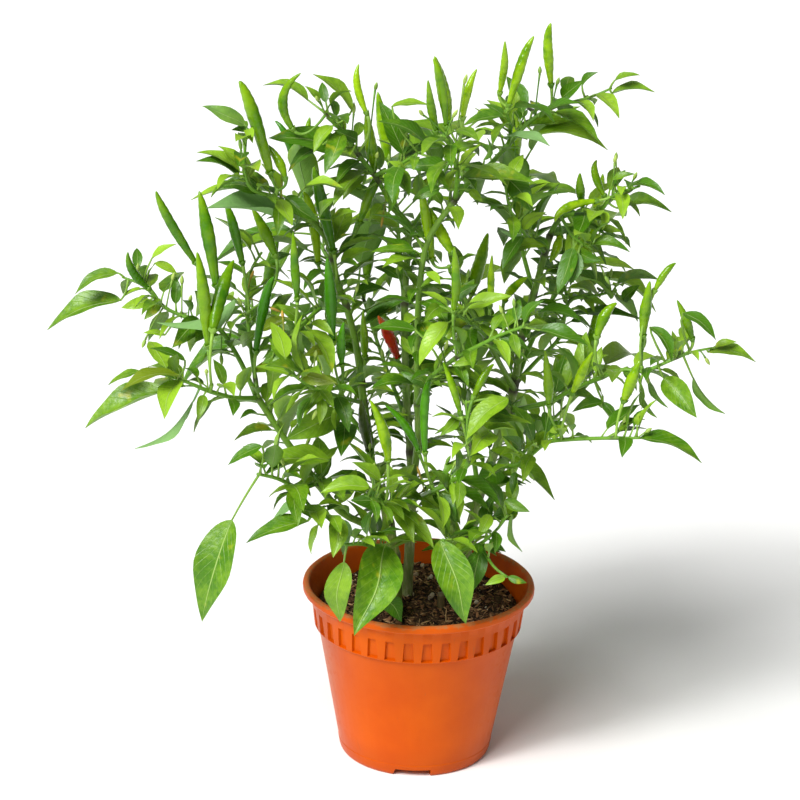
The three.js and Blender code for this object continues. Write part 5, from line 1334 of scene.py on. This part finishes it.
# A limb: rings round its rounded way, swollen by exp(-(d / reach)^2) at a distance d from a fork, ridged
# by sin(5a + 3 twist) cos(3a - twist) and a little lumpy. Its tone is its radius over toneRadius.
def addLimb(batch, limb):
    form, isStem = stemForm, limb["isStem"]
    rows = np.column_stack([limb["points"], limb["radii"]])
    way = roundCorners(rows, form["stemReach" if isStem else "twigReach"])
    way, along = evenly(way, form["step" if isStem else "twigStep"])
    centres, radii = way[:, :3], way[:, 3]
    sides = form["sides" if isStem else "twigSides"]
    gap = np.linalg.norm(centres[:, None] - forks[None], axis=2).min(axis=1)
    near = np.exp(-(gap / form["forkReach"]) ** 2)
    turn = anglesRound(sides)[None]
    twist = along[:, None] * form["twist"]
    swell = 1 + form["ridges"] * np.sin(5 * turn + twist * 3) * np.cos(3 * turn - twist)
    lump = 1 + form["lumps"] * lumps(centres, form["lumpSize"], 3)
    swell = swell * (1 + form["swell"] * near[:, None]) * lump[:, None]
    rings = ringsRound(centres, radii, sides, swell)
    tone = (radii / form["toneRadius"])[:, None] * np.ones(sides)
    addSkin(batch, rings, tone=tone, mark=near[:, None] * np.ones(sides))


# The limbs of a node as one piece.
def makeWood(name, node, bark):
    batch = newBatch()
    for limb in limbsInSpace:
        if limb["node"] == node:
            addLimb(batch, limb)
    makePiece(name, batch, [bark], [node])


for node in stems:
    makeWood("wood_" + node.removeprefix("stem_"), node, barks[node])
for node in sprays:
    makeWood("twigs_" + node.removeprefix("spray_"), node, twigBark)
print("stems and twigs done")


# Leaves. A kind's row is its least length, its corners across, its rings and its stalk's rings.
bladeForm = {"large": (45, 7, 18, 5), "middle": (25, 5, 12, 4), "small": (0, 3, 8, 3),
             "outline": (3.17, 0.65, 1.1), "thick": 0.5, "thinning": 0.6, "midrib": 0.5,
             "fold": 0.4, "foldLeast": 0.3, "foldSpread": 1.4, "foldPower": 1.3, "archLeast": 0.6,
             "wave": 0.1, "waves": 1.7, "waveShift": 0.3, "curl": 0.07, "point": 0.08,
             "stalkTaper": (1.1, 0.75), "stalkBow": 0.4, "bowShare": 0.45}
# The tones read from the photograph, each with the pixels of its leaves' tips
leafTones = {
    1.4: [(157, 323), (135, 449), (272, 522), (343, 555), (550, 146), (206, 208), (500, 230),
          (418, 200)],
    1.15: [(202, 106), (517, 184), (660, 280)],
    -0.2: [(121, 391), (303, 356), (292, 318), (337, 383)],
    0.05: [(341, 457), (350, 500), (318, 222), (218, 187), (404, 167), (378, 121), (585, 80),
           (533, 212), (490, 520), (672, 362), (372, 328), (474, 352), (471, 492), (472, 592),
           (402, 622), (287, 172)],
    0.8: [(452, 523), (387, 522)],
    0.45: [(285, 440), (85, 428), (555, 500), (340, 622)],
    0.3: [(354, 636), (466, 624), (202, 622), (47, 330)],
}


# The tone of the first row that holds a pixel within reach of a pixel, or else a drawn one.
def toneAt(pixel, tones, reach, drawn):
    for tone, tips in tones.items():
        if any(math.hypot(pixel[0] - x, pixel[1] - y) < reach for x, y in tips):
            return tone
    return drawn


# A leaf's tone: above 1 it is pale and below 0 it is yellow.
def leafTone(leaf, seed):
    return toneAt(leaf.get("pixel", (0, 0)), leafTones, 4, 0.95 * draw(seed) ** 1.25)


# A blade over u from 0 to 1 along and s from -1 to 1 across:
# base + u axis + arch length sin(pi u) normal + curl length sin(pi u)^2 side + s half side
# + (fold half |s|^1.3 + wave half s^2 sin(2 pi (1.7 u +- 0.3) + phase)) normal, where half is the
# blade's outline, width / 2 3.17 u^0.65 (1 - u)^1.1. The underside lies a thickness below, and both meet
# in a sharp rim.
def addLeaf(batch, leaf, seed):
    form = bladeForm
    base, tip, normal, side, length = (leaf[key] for key in ("base", "tip", "normal", "side", "length"))
    kind = "small"
    if not leaf.get("fills"):
        kind = next(key for key in ("large", "middle", "small") if length >= form[key][0])
    across, along, stalkRings = form[kind][1:]
    u = 0.5 - 0.5 * np.cos(np.pi * (np.arange(along) + 0.55) / (along + 0.1))
    s = np.linspace(-1, 1, across)
    fullness, basePower, tipPower = form["outline"]
    half = leaf["width"] / 2 * fullness * u ** basePower * (1 - u) ** tipPower
    phase, bend = draw(seed) * drawnTurn, (draw(seed + 1) - 0.5) * 2
    middle = base + (tip - base) * u[:, None]
    arch = leafForm["arch"] * (form["archLeast"] + draw(seed + 4))
    middle = middle + normal * (arch * length * np.sin(math.pi * u))[:, None]
    middle = middle + side * (form["curl"] * length * bend * np.sin(math.pi * u) ** 2)[:, None]
    fold = form["fold"] * (form["foldLeast"] + form["foldSpread"] * draw(seed + 2))
    lift = fold * half[:, None] * (np.abs(s) ** form["foldPower"])[None]
    waving = 2 * math.pi * (form["waves"] * u[:, None] + form["waveShift"] * np.sign(s)[None]) + phase
    lift += form["wave"] * half[:, None] * s[None] ** 2 * np.sin(waving)
    top = middle[:, None] + side * (s[None, :, None] * half[:, None, None]) + normal * lift[:, :, None]
    thick = form["thick"] * (1 - form["thinning"] * np.abs(s))
    rib = form["midrib"] * (np.abs(s) < 0.01) * (1 - u[:, None])
    low = top - normal * (thick[None] + rib)[:, :, None]
    blade = np.concatenate([top, low[:, -2:0:-1]], axis=1)
    corners = blade.shape[1]

    # The stalk has as many corners as the blade, and its last ring is joined to the blade's first
    reach = np.linalg.norm(base - leaf["foot"])
    rise = unit(middle[0] - base)
    straight, bowed = (leaf["foot"] + base) / 2, base - rise * reach * form["stalkBow"]
    bow = straight * (1 - form["bowShare"]) + bowed * form["bowShare"]
    stalkAt = curveAt(leaf["foot"], bow, base, np.linspace(0, 1, stalkRings))
    wide = leafForm["stalkRadius"] * np.linspace(*form["stalkTaper"], stalkRings)
    tangent = np.gradient(stalkAt, axis=0)
    tangent /= np.linalg.norm(tangent, axis=1)[:, None]
    sideways = side - tangent * (tangent @ side)[:, None]
    sideways /= np.linalg.norm(sideways, axis=1)[:, None]
    upwards = np.cross(tangent, sideways)
    upwards *= np.sign(upwards @ normal)[:, None]
    turn = np.concatenate([np.linspace(180, 0, across), np.linspace(0, -180, across)[1:-1]])
    turn = (turn * math.pi / 180)[None, :, None]
    outward = np.cos(turn) * sideways[:, None] + np.sin(turn) * upwards[:, None]
    stalk = stalkAt[:, None] + wide[:, None, None] * outward
    point = tip + (blade[-1] - blade[-1].mean(0)) * form["point"]
    rings = np.concatenate([stalk, blade, point[None]])

    uvs = np.zeros((len(rings), corners, 2))
    uvs[..., 0] = np.concatenate([np.linspace(-0.4, -0.05, stalkRings), u, [1]])[:, None]
    uvs[..., 1] = np.concatenate([s, s[-2:0:-1]])[None]
    corner = np.arange(corners)
    under = (corner >= across) * np.ones(len(rings))[:, None]
    under[:stalkRings] = 0
    rim = np.where(corner == 0, 1, np.where(corner == across - 1, 2, 0))
    isUnder = (corner >= across) | (corner == 0)
    addSkin(batch, rings[:, ::-1], tone=leafTone(leaf, 3 * seed), mark=under[:, ::-1],
            uv=uvs[:, ::-1], rim=rim[::-1], turned=isUnder[::-1])


for number, (node, organs) in enumerate(leaves.items()):
    batch = newBatch()
    for i, leaf in enumerate(organs):
        addLeaf(batch, leaf, 151 * number + i)
    makePiece("leaves_" + node.removeprefix("spray_"), batch, [leafSkin], [node])
print("leaves done")


# Fruits. widest is where along its length a fruit is widest, and taper what it loses towards its tip.
fruitForm = {"sides": 14, "along": 34, "shoulder": 0.5, "widest": 0.4, "taper": 0.84, "taperPower": 1.7,
             "closing": 0.05, "uneven": 0.06, "unevenWaves": 2.2, "sway": 0.025, "dents": 0.04,
             "smallDents": 0.02, "seeds": 9, "bump": 0.035, "lumps": 0.05, "lumpSize": 9}
# Radii of the stalk as shares of its own, and the calyx's rings: heights over the neck, and radii as a
# share of the fruit's with so many millimetres more
stalkForm = {"sides": 9, "radii": (1.05, 0.85, 0.8, 0.82, 0.88, 0.96, 1.08, 1.25), "back": 0.45,
             "aside": 0.1, "shared": (2.2, 1.8, 1.7, 1.9, 1.3), "sharedReach": 1.12}
calyxForm = {"sides": 10, "lobes": 5, "lobe": 0.7, "heights": (-0.6, 0.6, 2.0, 3.0, 3.6),
             "shares": (0, 0, 0.5, 0.62, 0.68), "more": (1.5, 2.0, 0.8, 0.6, 0.4), "thick": 0.5}
fruitTones = {0.95: [(303, 196), (593, 352), (555, 222), (550, 262), (370, 400), (477, 69), (359, 64)],
              0.75: [(420, 190), (430, 208), (505, 41), (551, 23), (533, 36), (495, 252)],
              0.45: [(240, 82), (454, 247), (650, 280), (253, 209), (197, 253)],
              0.2: [(157, 192), (199, 192), (235, 259)], -0.35: [(361, 400)], 0.0: [(128, 252)],
              0.1: [(275, 121), (313, 167), (272, 276), (225, 202)]}


# A fruit: rings round its curve of radius R f(t). f rises as a quarter sine from 0.5 at the shoulder to 1
# at t = 0.4, falls as 1 - 0.84 ((t - 0.4) / 0.6)^1.7 and closes as a quarter circle at the tip. Sines
# round and along it make shallow dents and bumps over the seeds.
def addFruit(batch, organ, seed):
    form = fruitForm
    radius, widest = organ["width"] / 2, form["widest"]
    t = np.concatenate([np.linspace(0, 0.94, form["along"]), [0.96, 0.98, 0.992, 1]])
    rising = np.sin(np.clip(t / widest, 0, 1) * math.pi / 2)
    rising = form["shoulder"] + (1 - form["shoulder"]) * rising
    falling = 1 - form["taper"] * np.clip((t - widest) / (1 - widest), 0, 1) ** form["taperPower"]
    closing = np.clip(t - (1 - form["closing"]), 0, 1) / form["closing"]
    closing = np.sqrt(np.clip(1 - closing ** 2, 0.01, 1))
    shape = rising * falling * closing
    waving = np.sin(2 * math.pi * (form["unevenWaves"] * t + draw(seed)))
    shape *= 1 + form["uneven"] * waving * (1 - t)
    centres = curveAt(organ["base"], organ["bend"], organ["tip"], t)
    run = organ["tip"] - organ["base"]
    sway = frameOf(unit(run), ringWish)[0]
    swing = form["sway"] * np.linalg.norm(run) * (2 * draw(seed + 6) - 1)
    swing = swing * np.sin(math.pi * t) * np.sin(2 * math.pi * (t + draw(seed + 7)))
    centres = centres + sway * swing[:, None]
    sides = form["sides"]
    turn = anglesRound(sides)[None]
    swell = 1 + form["dents"] * np.sin(2 * turn + drawnTurn * draw(seed + 1))
    swell = swell + form["smallDents"] * np.sin(3 * turn + 5 * t[:, None])
    swell += form["bump"] * np.sin(2 * math.pi * form["seeds"] * t[:, None] + 2 * np.sin(turn))
    swell += form["lumps"] * lumps(centres, form["lumpSize"], seed)[:, None]
    rings = ringsRound(centres, radius * shape, sides, swell)
    uvs = np.stack(np.broadcast_arrays(t[:, None], np.arange(sides)[None] / sides), axis=2)
    tone = toneAt(organ["pixel"], fruitTones, 6, 0.25 + 0.45 * draw(seed + 2))
    addSkin(batch, rings, tone=tone, uv=uvs)
    addStalk(batch, organ, seed)
    addCalyx(batch, organ, seed)


# The stalk: rings round a curve from the foot, which comes into the calyx along the fruit's own rise.
def addStalk(batch, organ, seed):
    form = stalkForm
    neck, foot = organ["neck"], organ["foot"]
    reach = np.linalg.norm(neck - foot)
    bend = neck - organ["rise"] * reach * form["back"] + (foot - neck) * form["aside"]
    way = curveAt(foot, bend, neck, np.linspace(0, 1, len(form["radii"])))
    wide = chilliForm["stalkRadius"] * np.array(form["radii"])
    addSkin(batch, ringsRound(way, wide, form["sides"]), tone=draw(seed + 3), kind=1)


# The calyx: a cup that flares from the stalk over the shoulder, its edge raised by lobe cos(lobes a).
def addCalyx(batch, organ, seed):
    form = calyxForm
    rise, neck, radius = organ["rise"], organ["neck"], organ["width"] / 2
    turn = anglesRound(form["sides"])
    widths = np.array(form["shares"]) * radius + np.array(form["more"])
    side, other = frameOf(rise, ringWish)
    outward = np.cos(turn)[:, None] * side + np.sin(turn)[:, None] * other
    heights = np.array(form["heights"])
    rings = neck + heights[:, None, None] * rise + widths[:, None, None] * outward[None]
    rings[-1] += form["lobe"] * np.cos(form["lobes"] * turn)[:, None] * rise
    inner = rings[-1] - outward * form["thick"] - rise * 0.1
    addSkin(batch, np.concatenate([rings, inner[None]]), tone=draw(seed + 4) * 0.6, kind=1)


byOwner = {}
for i, organ in enumerate(fruits):
    byOwner.setdefault((organ["node"], organ["colour"]), []).append((i, organ))
for (node, colourName), organs in byOwner.items():
    batch = newBatch()
    for i, organ in organs:
        addFruit(batch, organ, 71 * i + 5)
    for shared in sharedStalks:
        if shared["owner"] == node:
            along = np.linspace(0, stalkForm["sharedReach"], len(stalkForm["shared"]))[:, None]
            way = shared["foot"] + (shared["fork"] - shared["foot"]) * along
            rings = ringsRound(way, np.array(stalkForm["shared"]), stalkForm["sides"])
            addSkin(batch, rings, tone=0.4, kind=1)
    skins = [fruitSkins[colourName], stalkGreen]
    makePiece("fruit_" + node.split("_", 1)[1], batch, skins, [node])
print("fruits done")


# Buds. dry holds the pixels of the ends of those that have dried.
budLook = {"sides": 6, "stalkSides": 4, "length": 8, "lengthLeast": 0.8, "lengthSpread": 0.5,
           "bow": 0.12, "nod": 0.8, "stalk": (0.9, 0.65, 0.6, 0.6, 0.7, 1.0), "width": 0.9,
           "dryWidth": 0.7, "dryness": 0.9,
           "dry": [(322, 323), (281, 306), (282, 310), (283, 162), (381, 228), (254, 270), (417, 466),
                   (313, 333)]}


# A bud: a thin curved stalk that nods at its end, and an egg of radius r sin(pi (0.08 + 0.9 t))^0.75
# (1 - 0.25 t) along t from 0 to 1.
def addBud(batch, bud, seed):
    look = budLook
    foot, end = bud["foot"], bud["end"]
    size = look["length"] * (look["lengthLeast"] + look["lengthSpread"] * draw(seed + 2))
    nod = unit(unit(end - foot) + unit(ringWish) * (draw(seed + 3) - 0.3) * look["nod"])
    neck = end - nod * size
    bow = up * look["bow"] * np.linalg.norm(neck - foot)
    way = curveAt(foot, (foot + neck) / 2 + bow, neck, np.linspace(0, 1, len(look["stalk"])))
    dry = toneAt(bud["pixel"], {look["dryness"]: look["dry"]}, 6, 0.0)
    rings = ringsRound(way, np.array(look["stalk"]), look["stalkSides"])
    addSkin(batch, rings, tone=draw(seed) * 0.5, mark=dry * 0.4)
    t = np.linspace(0, 1, 6)
    shape = np.sin(math.pi * (0.08 + 0.9 * t)) ** 0.75 * (1 - 0.25 * t)
    centres = neck + (end - neck) * t[:, None]
    share = look["dryWidth" if dry else "width"]
    rings = ringsRound(centres, budForm["radius"] * shape * share, look["sides"])
    addSkin(batch, rings, tone=0.2 + 0.8 * draw(seed + 1), mark=dry)


for number, (node, organs) in enumerate(buds.items()):
    if organs:
        batch = newBatch()
        for i, bud in enumerate(organs):
            addBud(batch, bud, 19 * number + i)
        makePiece("buds_" + node.removeprefix("spray_"), batch, [budGreen], [node])
print("buds done")


# Pot. rim, foot and the like are radii, and from, to and the like heights. sharpAngle is in degrees.
pot = {"height": 155.3, "rim": 100, "lipInside": 94, "lipFoot": 148.3, "collarTop": 93.2,
       "collarFoot": 89.6, "collarFrom": 117.5, "bodyTop": 86.4, "bodyFoot": 66.2, "edge": 4.5,
       "foot": 63.4, "footWidth": 4, "disc": 24, "channel": 30, "channelHeight": 7, "slopeInset": 1.4,
       "floor": 3, "wall": 2.8, "step": 3, "line": 11, "sharpAngle": 32}
slots = {"count": 36, "width": 8.4, "from": 118.6, "to": 136.6, "depth": 2.5, "slant": 0.5,
         "taper": 0.16, "between": (0.42, 0.58)}
notches = {"count": 3, "width": 33, "height": 6.5, "slant": 2.5, "turn": -91.5}


# The pot's section from the middle of its foot, up outside, over the lip and down inside. A row is
# [radius, height, pressed, lifted]: pressed is 1 on a slot's floor, and lifted is 1 on the foot's edge.
def potSection():
    wall, floor = pot["wall"], pot["floor"]
    top, lip, line, inner = pot["height"], pot["lipFoot"], pot["line"], pot["foot"] - pot["footWidth"]

    def body(z):
        share = (z - pot["edge"]) / (pot["collarFrom"] - pot["edge"])
        return pot["bodyFoot"] + share * (pot["bodyTop"] - pot["bodyFoot"])

    def collar(z):
        share = (z - pot["collarFrom"]) / (lip - pot["collarFrom"])
        return pot["collarFoot"] + share * (pot["collarTop"] - pot["collarFoot"])

    rows = [[0.2, 0, 0, 0], [pot["disc"], 0, 0, 0],
            [pot["channel"], pot["channelHeight"], 0, 0], [inner, pot["channelHeight"], 0, 0],
            [inner, 0.4, 0, 1], [inner + 0.5, 0, 0, 1],
            [pot["foot"], 0, 0, 1], [pot["foot"] + 1.1, 0.7, 0, 1], [pot["foot"] + 2.1, 2.2, 0, 1],
            [body(pot["edge"]), pot["edge"], 0, 1]]
    rows += [[body(z) - inset, z, 0, 0] for z, inset in (
        (7.2, 0), (line - 0.6, 0), (line, 0.35), (line + 0.8, 0.35), (line + 2, 0.35),
        (60, 0.25), (pot["collarFrom"] - 1.2, 0), (pot["collarFrom"] - 0.3, -0.3))]
    rows += [[pot["collarFoot"] - 0.5, pot["collarFrom"], 0, 0],
             [pot["collarFoot"], pot["collarFrom"] + 0.5, 0, 0]]
    rows += [[collar(z), z, pressed, 0] for z, pressed in (
        (slots["from"], 0), (slots["from"] + slots["slant"], 1), (slots["to"] - slots["slant"], 1),
        (slots["to"], 0), (lip - 1.2, 0))]
    rows += [[r, z, 0, 0] for r, z in (
        (pot["collarTop"] + 0.5, lip - 0.4), (pot["collarTop"] + 1.5, lip),
        (pot["rim"] - 1.2, lip + 0.3), (pot["rim"] - 0.2, lip + 1.4),
        (pot["rim"], lip + 3), (pot["rim"] - 0.5, top - 1.6),
        (pot["rim"] - 1.7, top - 0.5), (pot["rim"] - 3, top), (pot["lipInside"] + 1.3, top - 0.2),
        (pot["lipInside"] + 0.3, top - 1), (pot["lipInside"] - 0.3, top - 2.4),
        (pot["collarTop"] - wall, lip - 1), (pot["bodyTop"] - wall, pot["collarFrom"] - pot["step"]),
        (pot["bodyFoot"] - wall, pot["channelHeight"] + floor),
        (pot["channel"] - pot["slopeInset"], pot["channelHeight"] + floor),
        (pot["disc"] - pot["slopeInset"], floor), (0.2, floor))]
    return np.array(rows).T


# The section carried round the axis. Near a slot's middle, at an angle d from it, a row leans to
# d (1 - taper h), with h from -1 at the slots' foot to 1 at their top. Slots are pressed in by their
# depth, and notches lift the foot's edge to their height.
def makePot():
    radius, height, pressed, lifted = potSection()
    period = 2 * math.pi / slots["count"]
    half = slots["width"] / 2 / pot["collarFoot"]
    floorHalf = half - slots["slant"] / pot["collarFoot"]
    between = [share * period for share in slots["between"]]
    offsets = np.array([-half, -floorHalf, floorHalf, half, *between])
    turn = (period * (np.arange(slots["count"])[:, None] + 0.5) + offsets).ravel()
    middles = math.radians(notches["turn"]) + anglesRound(notches["count"])
    wide = math.asin(notches["width"] / 2 / pot["foot"])
    narrow = math.asin((notches["width"] / 2 - notches["slant"]) / pot["foot"])
    sides = np.array([-wide, -narrow, narrow, wide])
    turn = np.sort(np.mod(np.concatenate([turn, (middles[:, None] + sides).ravel()]), 2 * math.pi))
    away = np.mod(turn, period) - period / 2
    inSlot = np.clip((half - np.abs(away)) / (half - floorHalf), 0, 1)
    ends = [slots["from"], slots["to"]]
    lean = np.interp(height, ends, [-1, 1]) * (pressed + np.isin(height, ends))
    fade = np.clip((period / 2 - np.abs(away)) / (period / 2 - half), 0, 1)
    at = turn[None] - slots["taper"] * lean[:, None] * (away * fade)[None]
    r = radius[:, None] - slots["depth"] * pressed[:, None] * inSlot[None]
    apart = np.abs(np.mod(turn[None] - middles[:, None] + math.pi, 2 * math.pi) - math.pi).min(axis=0)
    inNotch = apart < (wide + narrow) / 2
    isLifted = (lifted[:, None] > 0) & inNotch[None]
    z = np.where(isLifted, notches["height"], height[:, None])
    r = np.where(isLifted & (r > pot["foot"]), pot["bodyFoot"] + 0.3, r)
    batch = newBatch()
    addSkin(batch, np.stack([r * np.cos(at), r * np.sin(at), z], axis=2))
    piece = makePiece("potBody", batch, [potMaterial()], ["pot"])
    piece.data.set_sharp_from_angle(angle=math.radians(pot["sharpAngle"]))


makePot()
print("pot done")


# Soil. relief holds rows of height, size and seed. The top dips by dip (r / radius)^dipPower.
soil = {"top": 136.6, "radius": 85.2, "rings": 90, "columns": 220, "least": 0.004,
        "relief": ((1.6, 26, 1), (1.0, 8, 2), (0.5, 3.2, 3)), "dip": 1.6, "dipPower": 6,
        "foot": 100, "footRadius": 80.5, "wallTop": 131, "wallInset": 0.6}


# How high the soil stands at a place: top + its relief - its dip.
def soilHeight(x, y):
    flat = np.stack([x, y, np.zeros_like(x)], axis=-1).reshape(-1, 3)
    rise = sum(height * lumps(flat, size, seed) for height, size, seed in soil["relief"])
    dip = soil["dip"] * (np.hypot(x, y) / soil["radius"]) ** soil["dipPower"]
    return soil["top"] + rise.reshape(x.shape) - dip


# Rings from the soil's foot up its wall, and inwards over its top.
def makeSoil():
    turn = anglesRound(soil["columns"])
    r = soil["radius"] * np.linspace(1, soil["least"], soil["rings"])
    x, y = r[:, None] * np.cos(turn), r[:, None] * np.sin(turn)
    top = np.stack([x, y, soilHeight(x, y)], axis=2)
    ring = np.stack([np.cos(turn), np.sin(turn), np.zeros_like(turn)], axis=1)
    wall = [ring * soil["footRadius"] + up * soil["foot"],
            ring * (soil["radius"] - soil["wallInset"]) + up * soil["wallTop"]]
    batch = newBatch()
    addSkin(batch, np.concatenate([np.array(wall), top]))
    makePiece("soilBed", batch, [soilMaterial()], ["soil"])


# Grains: their material, how many, the seed of their draws, their least and greatest length, how flat
# they are, and the least width to a grain's length with how much it varies.
grains = {
    "barkChips": {"material": ("barkChip", "1C1009", "8E6642", 0.85), "count": 900, "seed": 5,
                  "sizes": (1.6, 7), "flat": 0.4, "slim": 0.35, "vary": 0.5},
    "fibres": {"material": ("fibre", "5A3A1E", "D0A878", 0.8), "count": 700, "seed": 6,
               "sizes": (3, 11), "flat": 0.14, "slim": 0.08, "vary": 0.1},
    "perliteGrains": {"material": ("perlite", "A08C6C", "ECE0C8", 0.7), "count": 80, "seed": 8,
                      "sizes": (1.2, 6.5), "flat": 0.8, "slim": 0.35, "vary": 0.5},
}
# A lump's rings, how uneven it is, how far out lumps lie, how much they tilt and how high they stand
lumpForm = {"corners": 6, "heights": (-0.98, -0.45, 0.35, 0.98), "radii": (0.35, 1, 0.95, 0.3),
            "uneven": 0.3, "outTo": 0.97, "tilt": 0.35, "stand": 0.4}


# Grains of one sort: copies of a lump, each stretched, turned and dropped on the soil at a drawn place.
def scatter(name, grain):
    form, count, flat = lumpForm, grain["count"], grain["flat"]
    rng = np.random.default_rng(grain["seed"])
    angle, share = rng.random(count) * 2 * math.pi, np.sqrt(rng.random(count)) * form["outTo"]
    x, y = soil["radius"] * share * np.cos(angle), soil["radius"] * share * np.sin(angle)
    rise, wide = np.array(form["heights"])[:, None], np.array(form["radii"])[:, None]
    corner = anglesRound(form["corners"])
    lump = np.broadcast_arrays(wide * np.cos(corner), wide * np.sin(corner), rise)
    lump = np.stack(lump, axis=2)
    least, most = grain["sizes"]
    batch = newBatch()
    for i in range(count):
        size = least + (most - least) * rng.random() ** 2
        shape = lump * (1 + form["uneven"] * (rng.random(lump.shape) - 0.5)) * size / 2
        shape = shape * np.array([1, grain["slim"] + grain["vary"] * rng.random(), flat])
        tilt, spin = rng.normal(0, form["tilt"], 2), rng.random() * 2 * math.pi
        c, s = math.cos(spin), math.sin(spin)
        turned = np.stack([c * shape[..., 0] - s * shape[..., 1],
                           s * shape[..., 0] + c * shape[..., 1], shape[..., 2]], axis=-1)
        turned[..., 2] += tilt[0] * turned[..., 0] + tilt[1] * turned[..., 1]
        height = soilHeight(x[i:i + 1], y[i:i + 1])[0] + size * flat * form["stand"]
        addSkin(batch, turned + np.array([x[i], y[i], height]), tone=rng.random())
    makePiece(name, batch, [grainMaterial(*grain["material"])], ["soil"])


makeSoil()
for name, grain in grains.items():
    scatter(name, grain)
print("soil done")


# Floor, lights and world.
studio = {"floor": "FCFCFA", "roughness": 0.8, "specular": 0.1, "size": 40, "world": 0.23}
# A light's place, its strength and how many degrees wide it looks
lights = {"key": ((-1.7, -2.0, 3.0), 3.2, 40), "window": ((-1.8, -1.8, 2.4), 1.4, 12)}


# A pale square that reaches size metres from the pot to each side.
def makeFloor():
    mesh = bpy.data.meshes.new("floor")
    size = studio["size"]
    corners = [(-size, -size, 0), (size, -size, 0), (size, size, 0), (-size, size, 0)]
    mesh.from_pydata(corners, [], [(0, 1, 2, 3)])
    floor = bpy.data.objects.new("floor", mesh)
    bpy.context.scene.collection.objects.link(floor)
    material, principled, add = startMaterial("paleFloor", Roughness=studio["roughness"],
                                              Specular_IOR_Level=studio["specular"])
    principled.inputs["Base Color"].default_value = colour(studio["floor"])
    mesh.materials.append(material)


# A wide far light that shines from a place towards the plant.
def addLight(name, place, strength, angle):
    data = bpy.data.lights.new(name, "SUN")
    data.energy, data.angle = strength, math.radians(angle)
    light = bpy.data.objects.new(name, data)
    back = unit(np.array(place, float))
    side, other = frameOf(back, up)
    rows = np.eye(4)
    rows[:3, 0], rows[:3, 1], rows[:3, 2], rows[:3, 3] = -other, side, back, place
    light.matrix_world = Matrix(rows.tolist())
    bpy.context.scene.collection.objects.link(light)


makeFloor()
for name, light in lights.items():
    addLight(name, *light)
world = bpy.data.worlds.new("world")
world.use_nodes = True
sky = world.node_tree.nodes["Background"]
sky.inputs["Color"].default_value = (1, 1, 1, 1)
sky.inputs["Strength"].default_value = studio["world"]
bpy.context.scene.world = world
bpy.context.scene.view_settings.view_transform = "Standard"
print("studio ready")
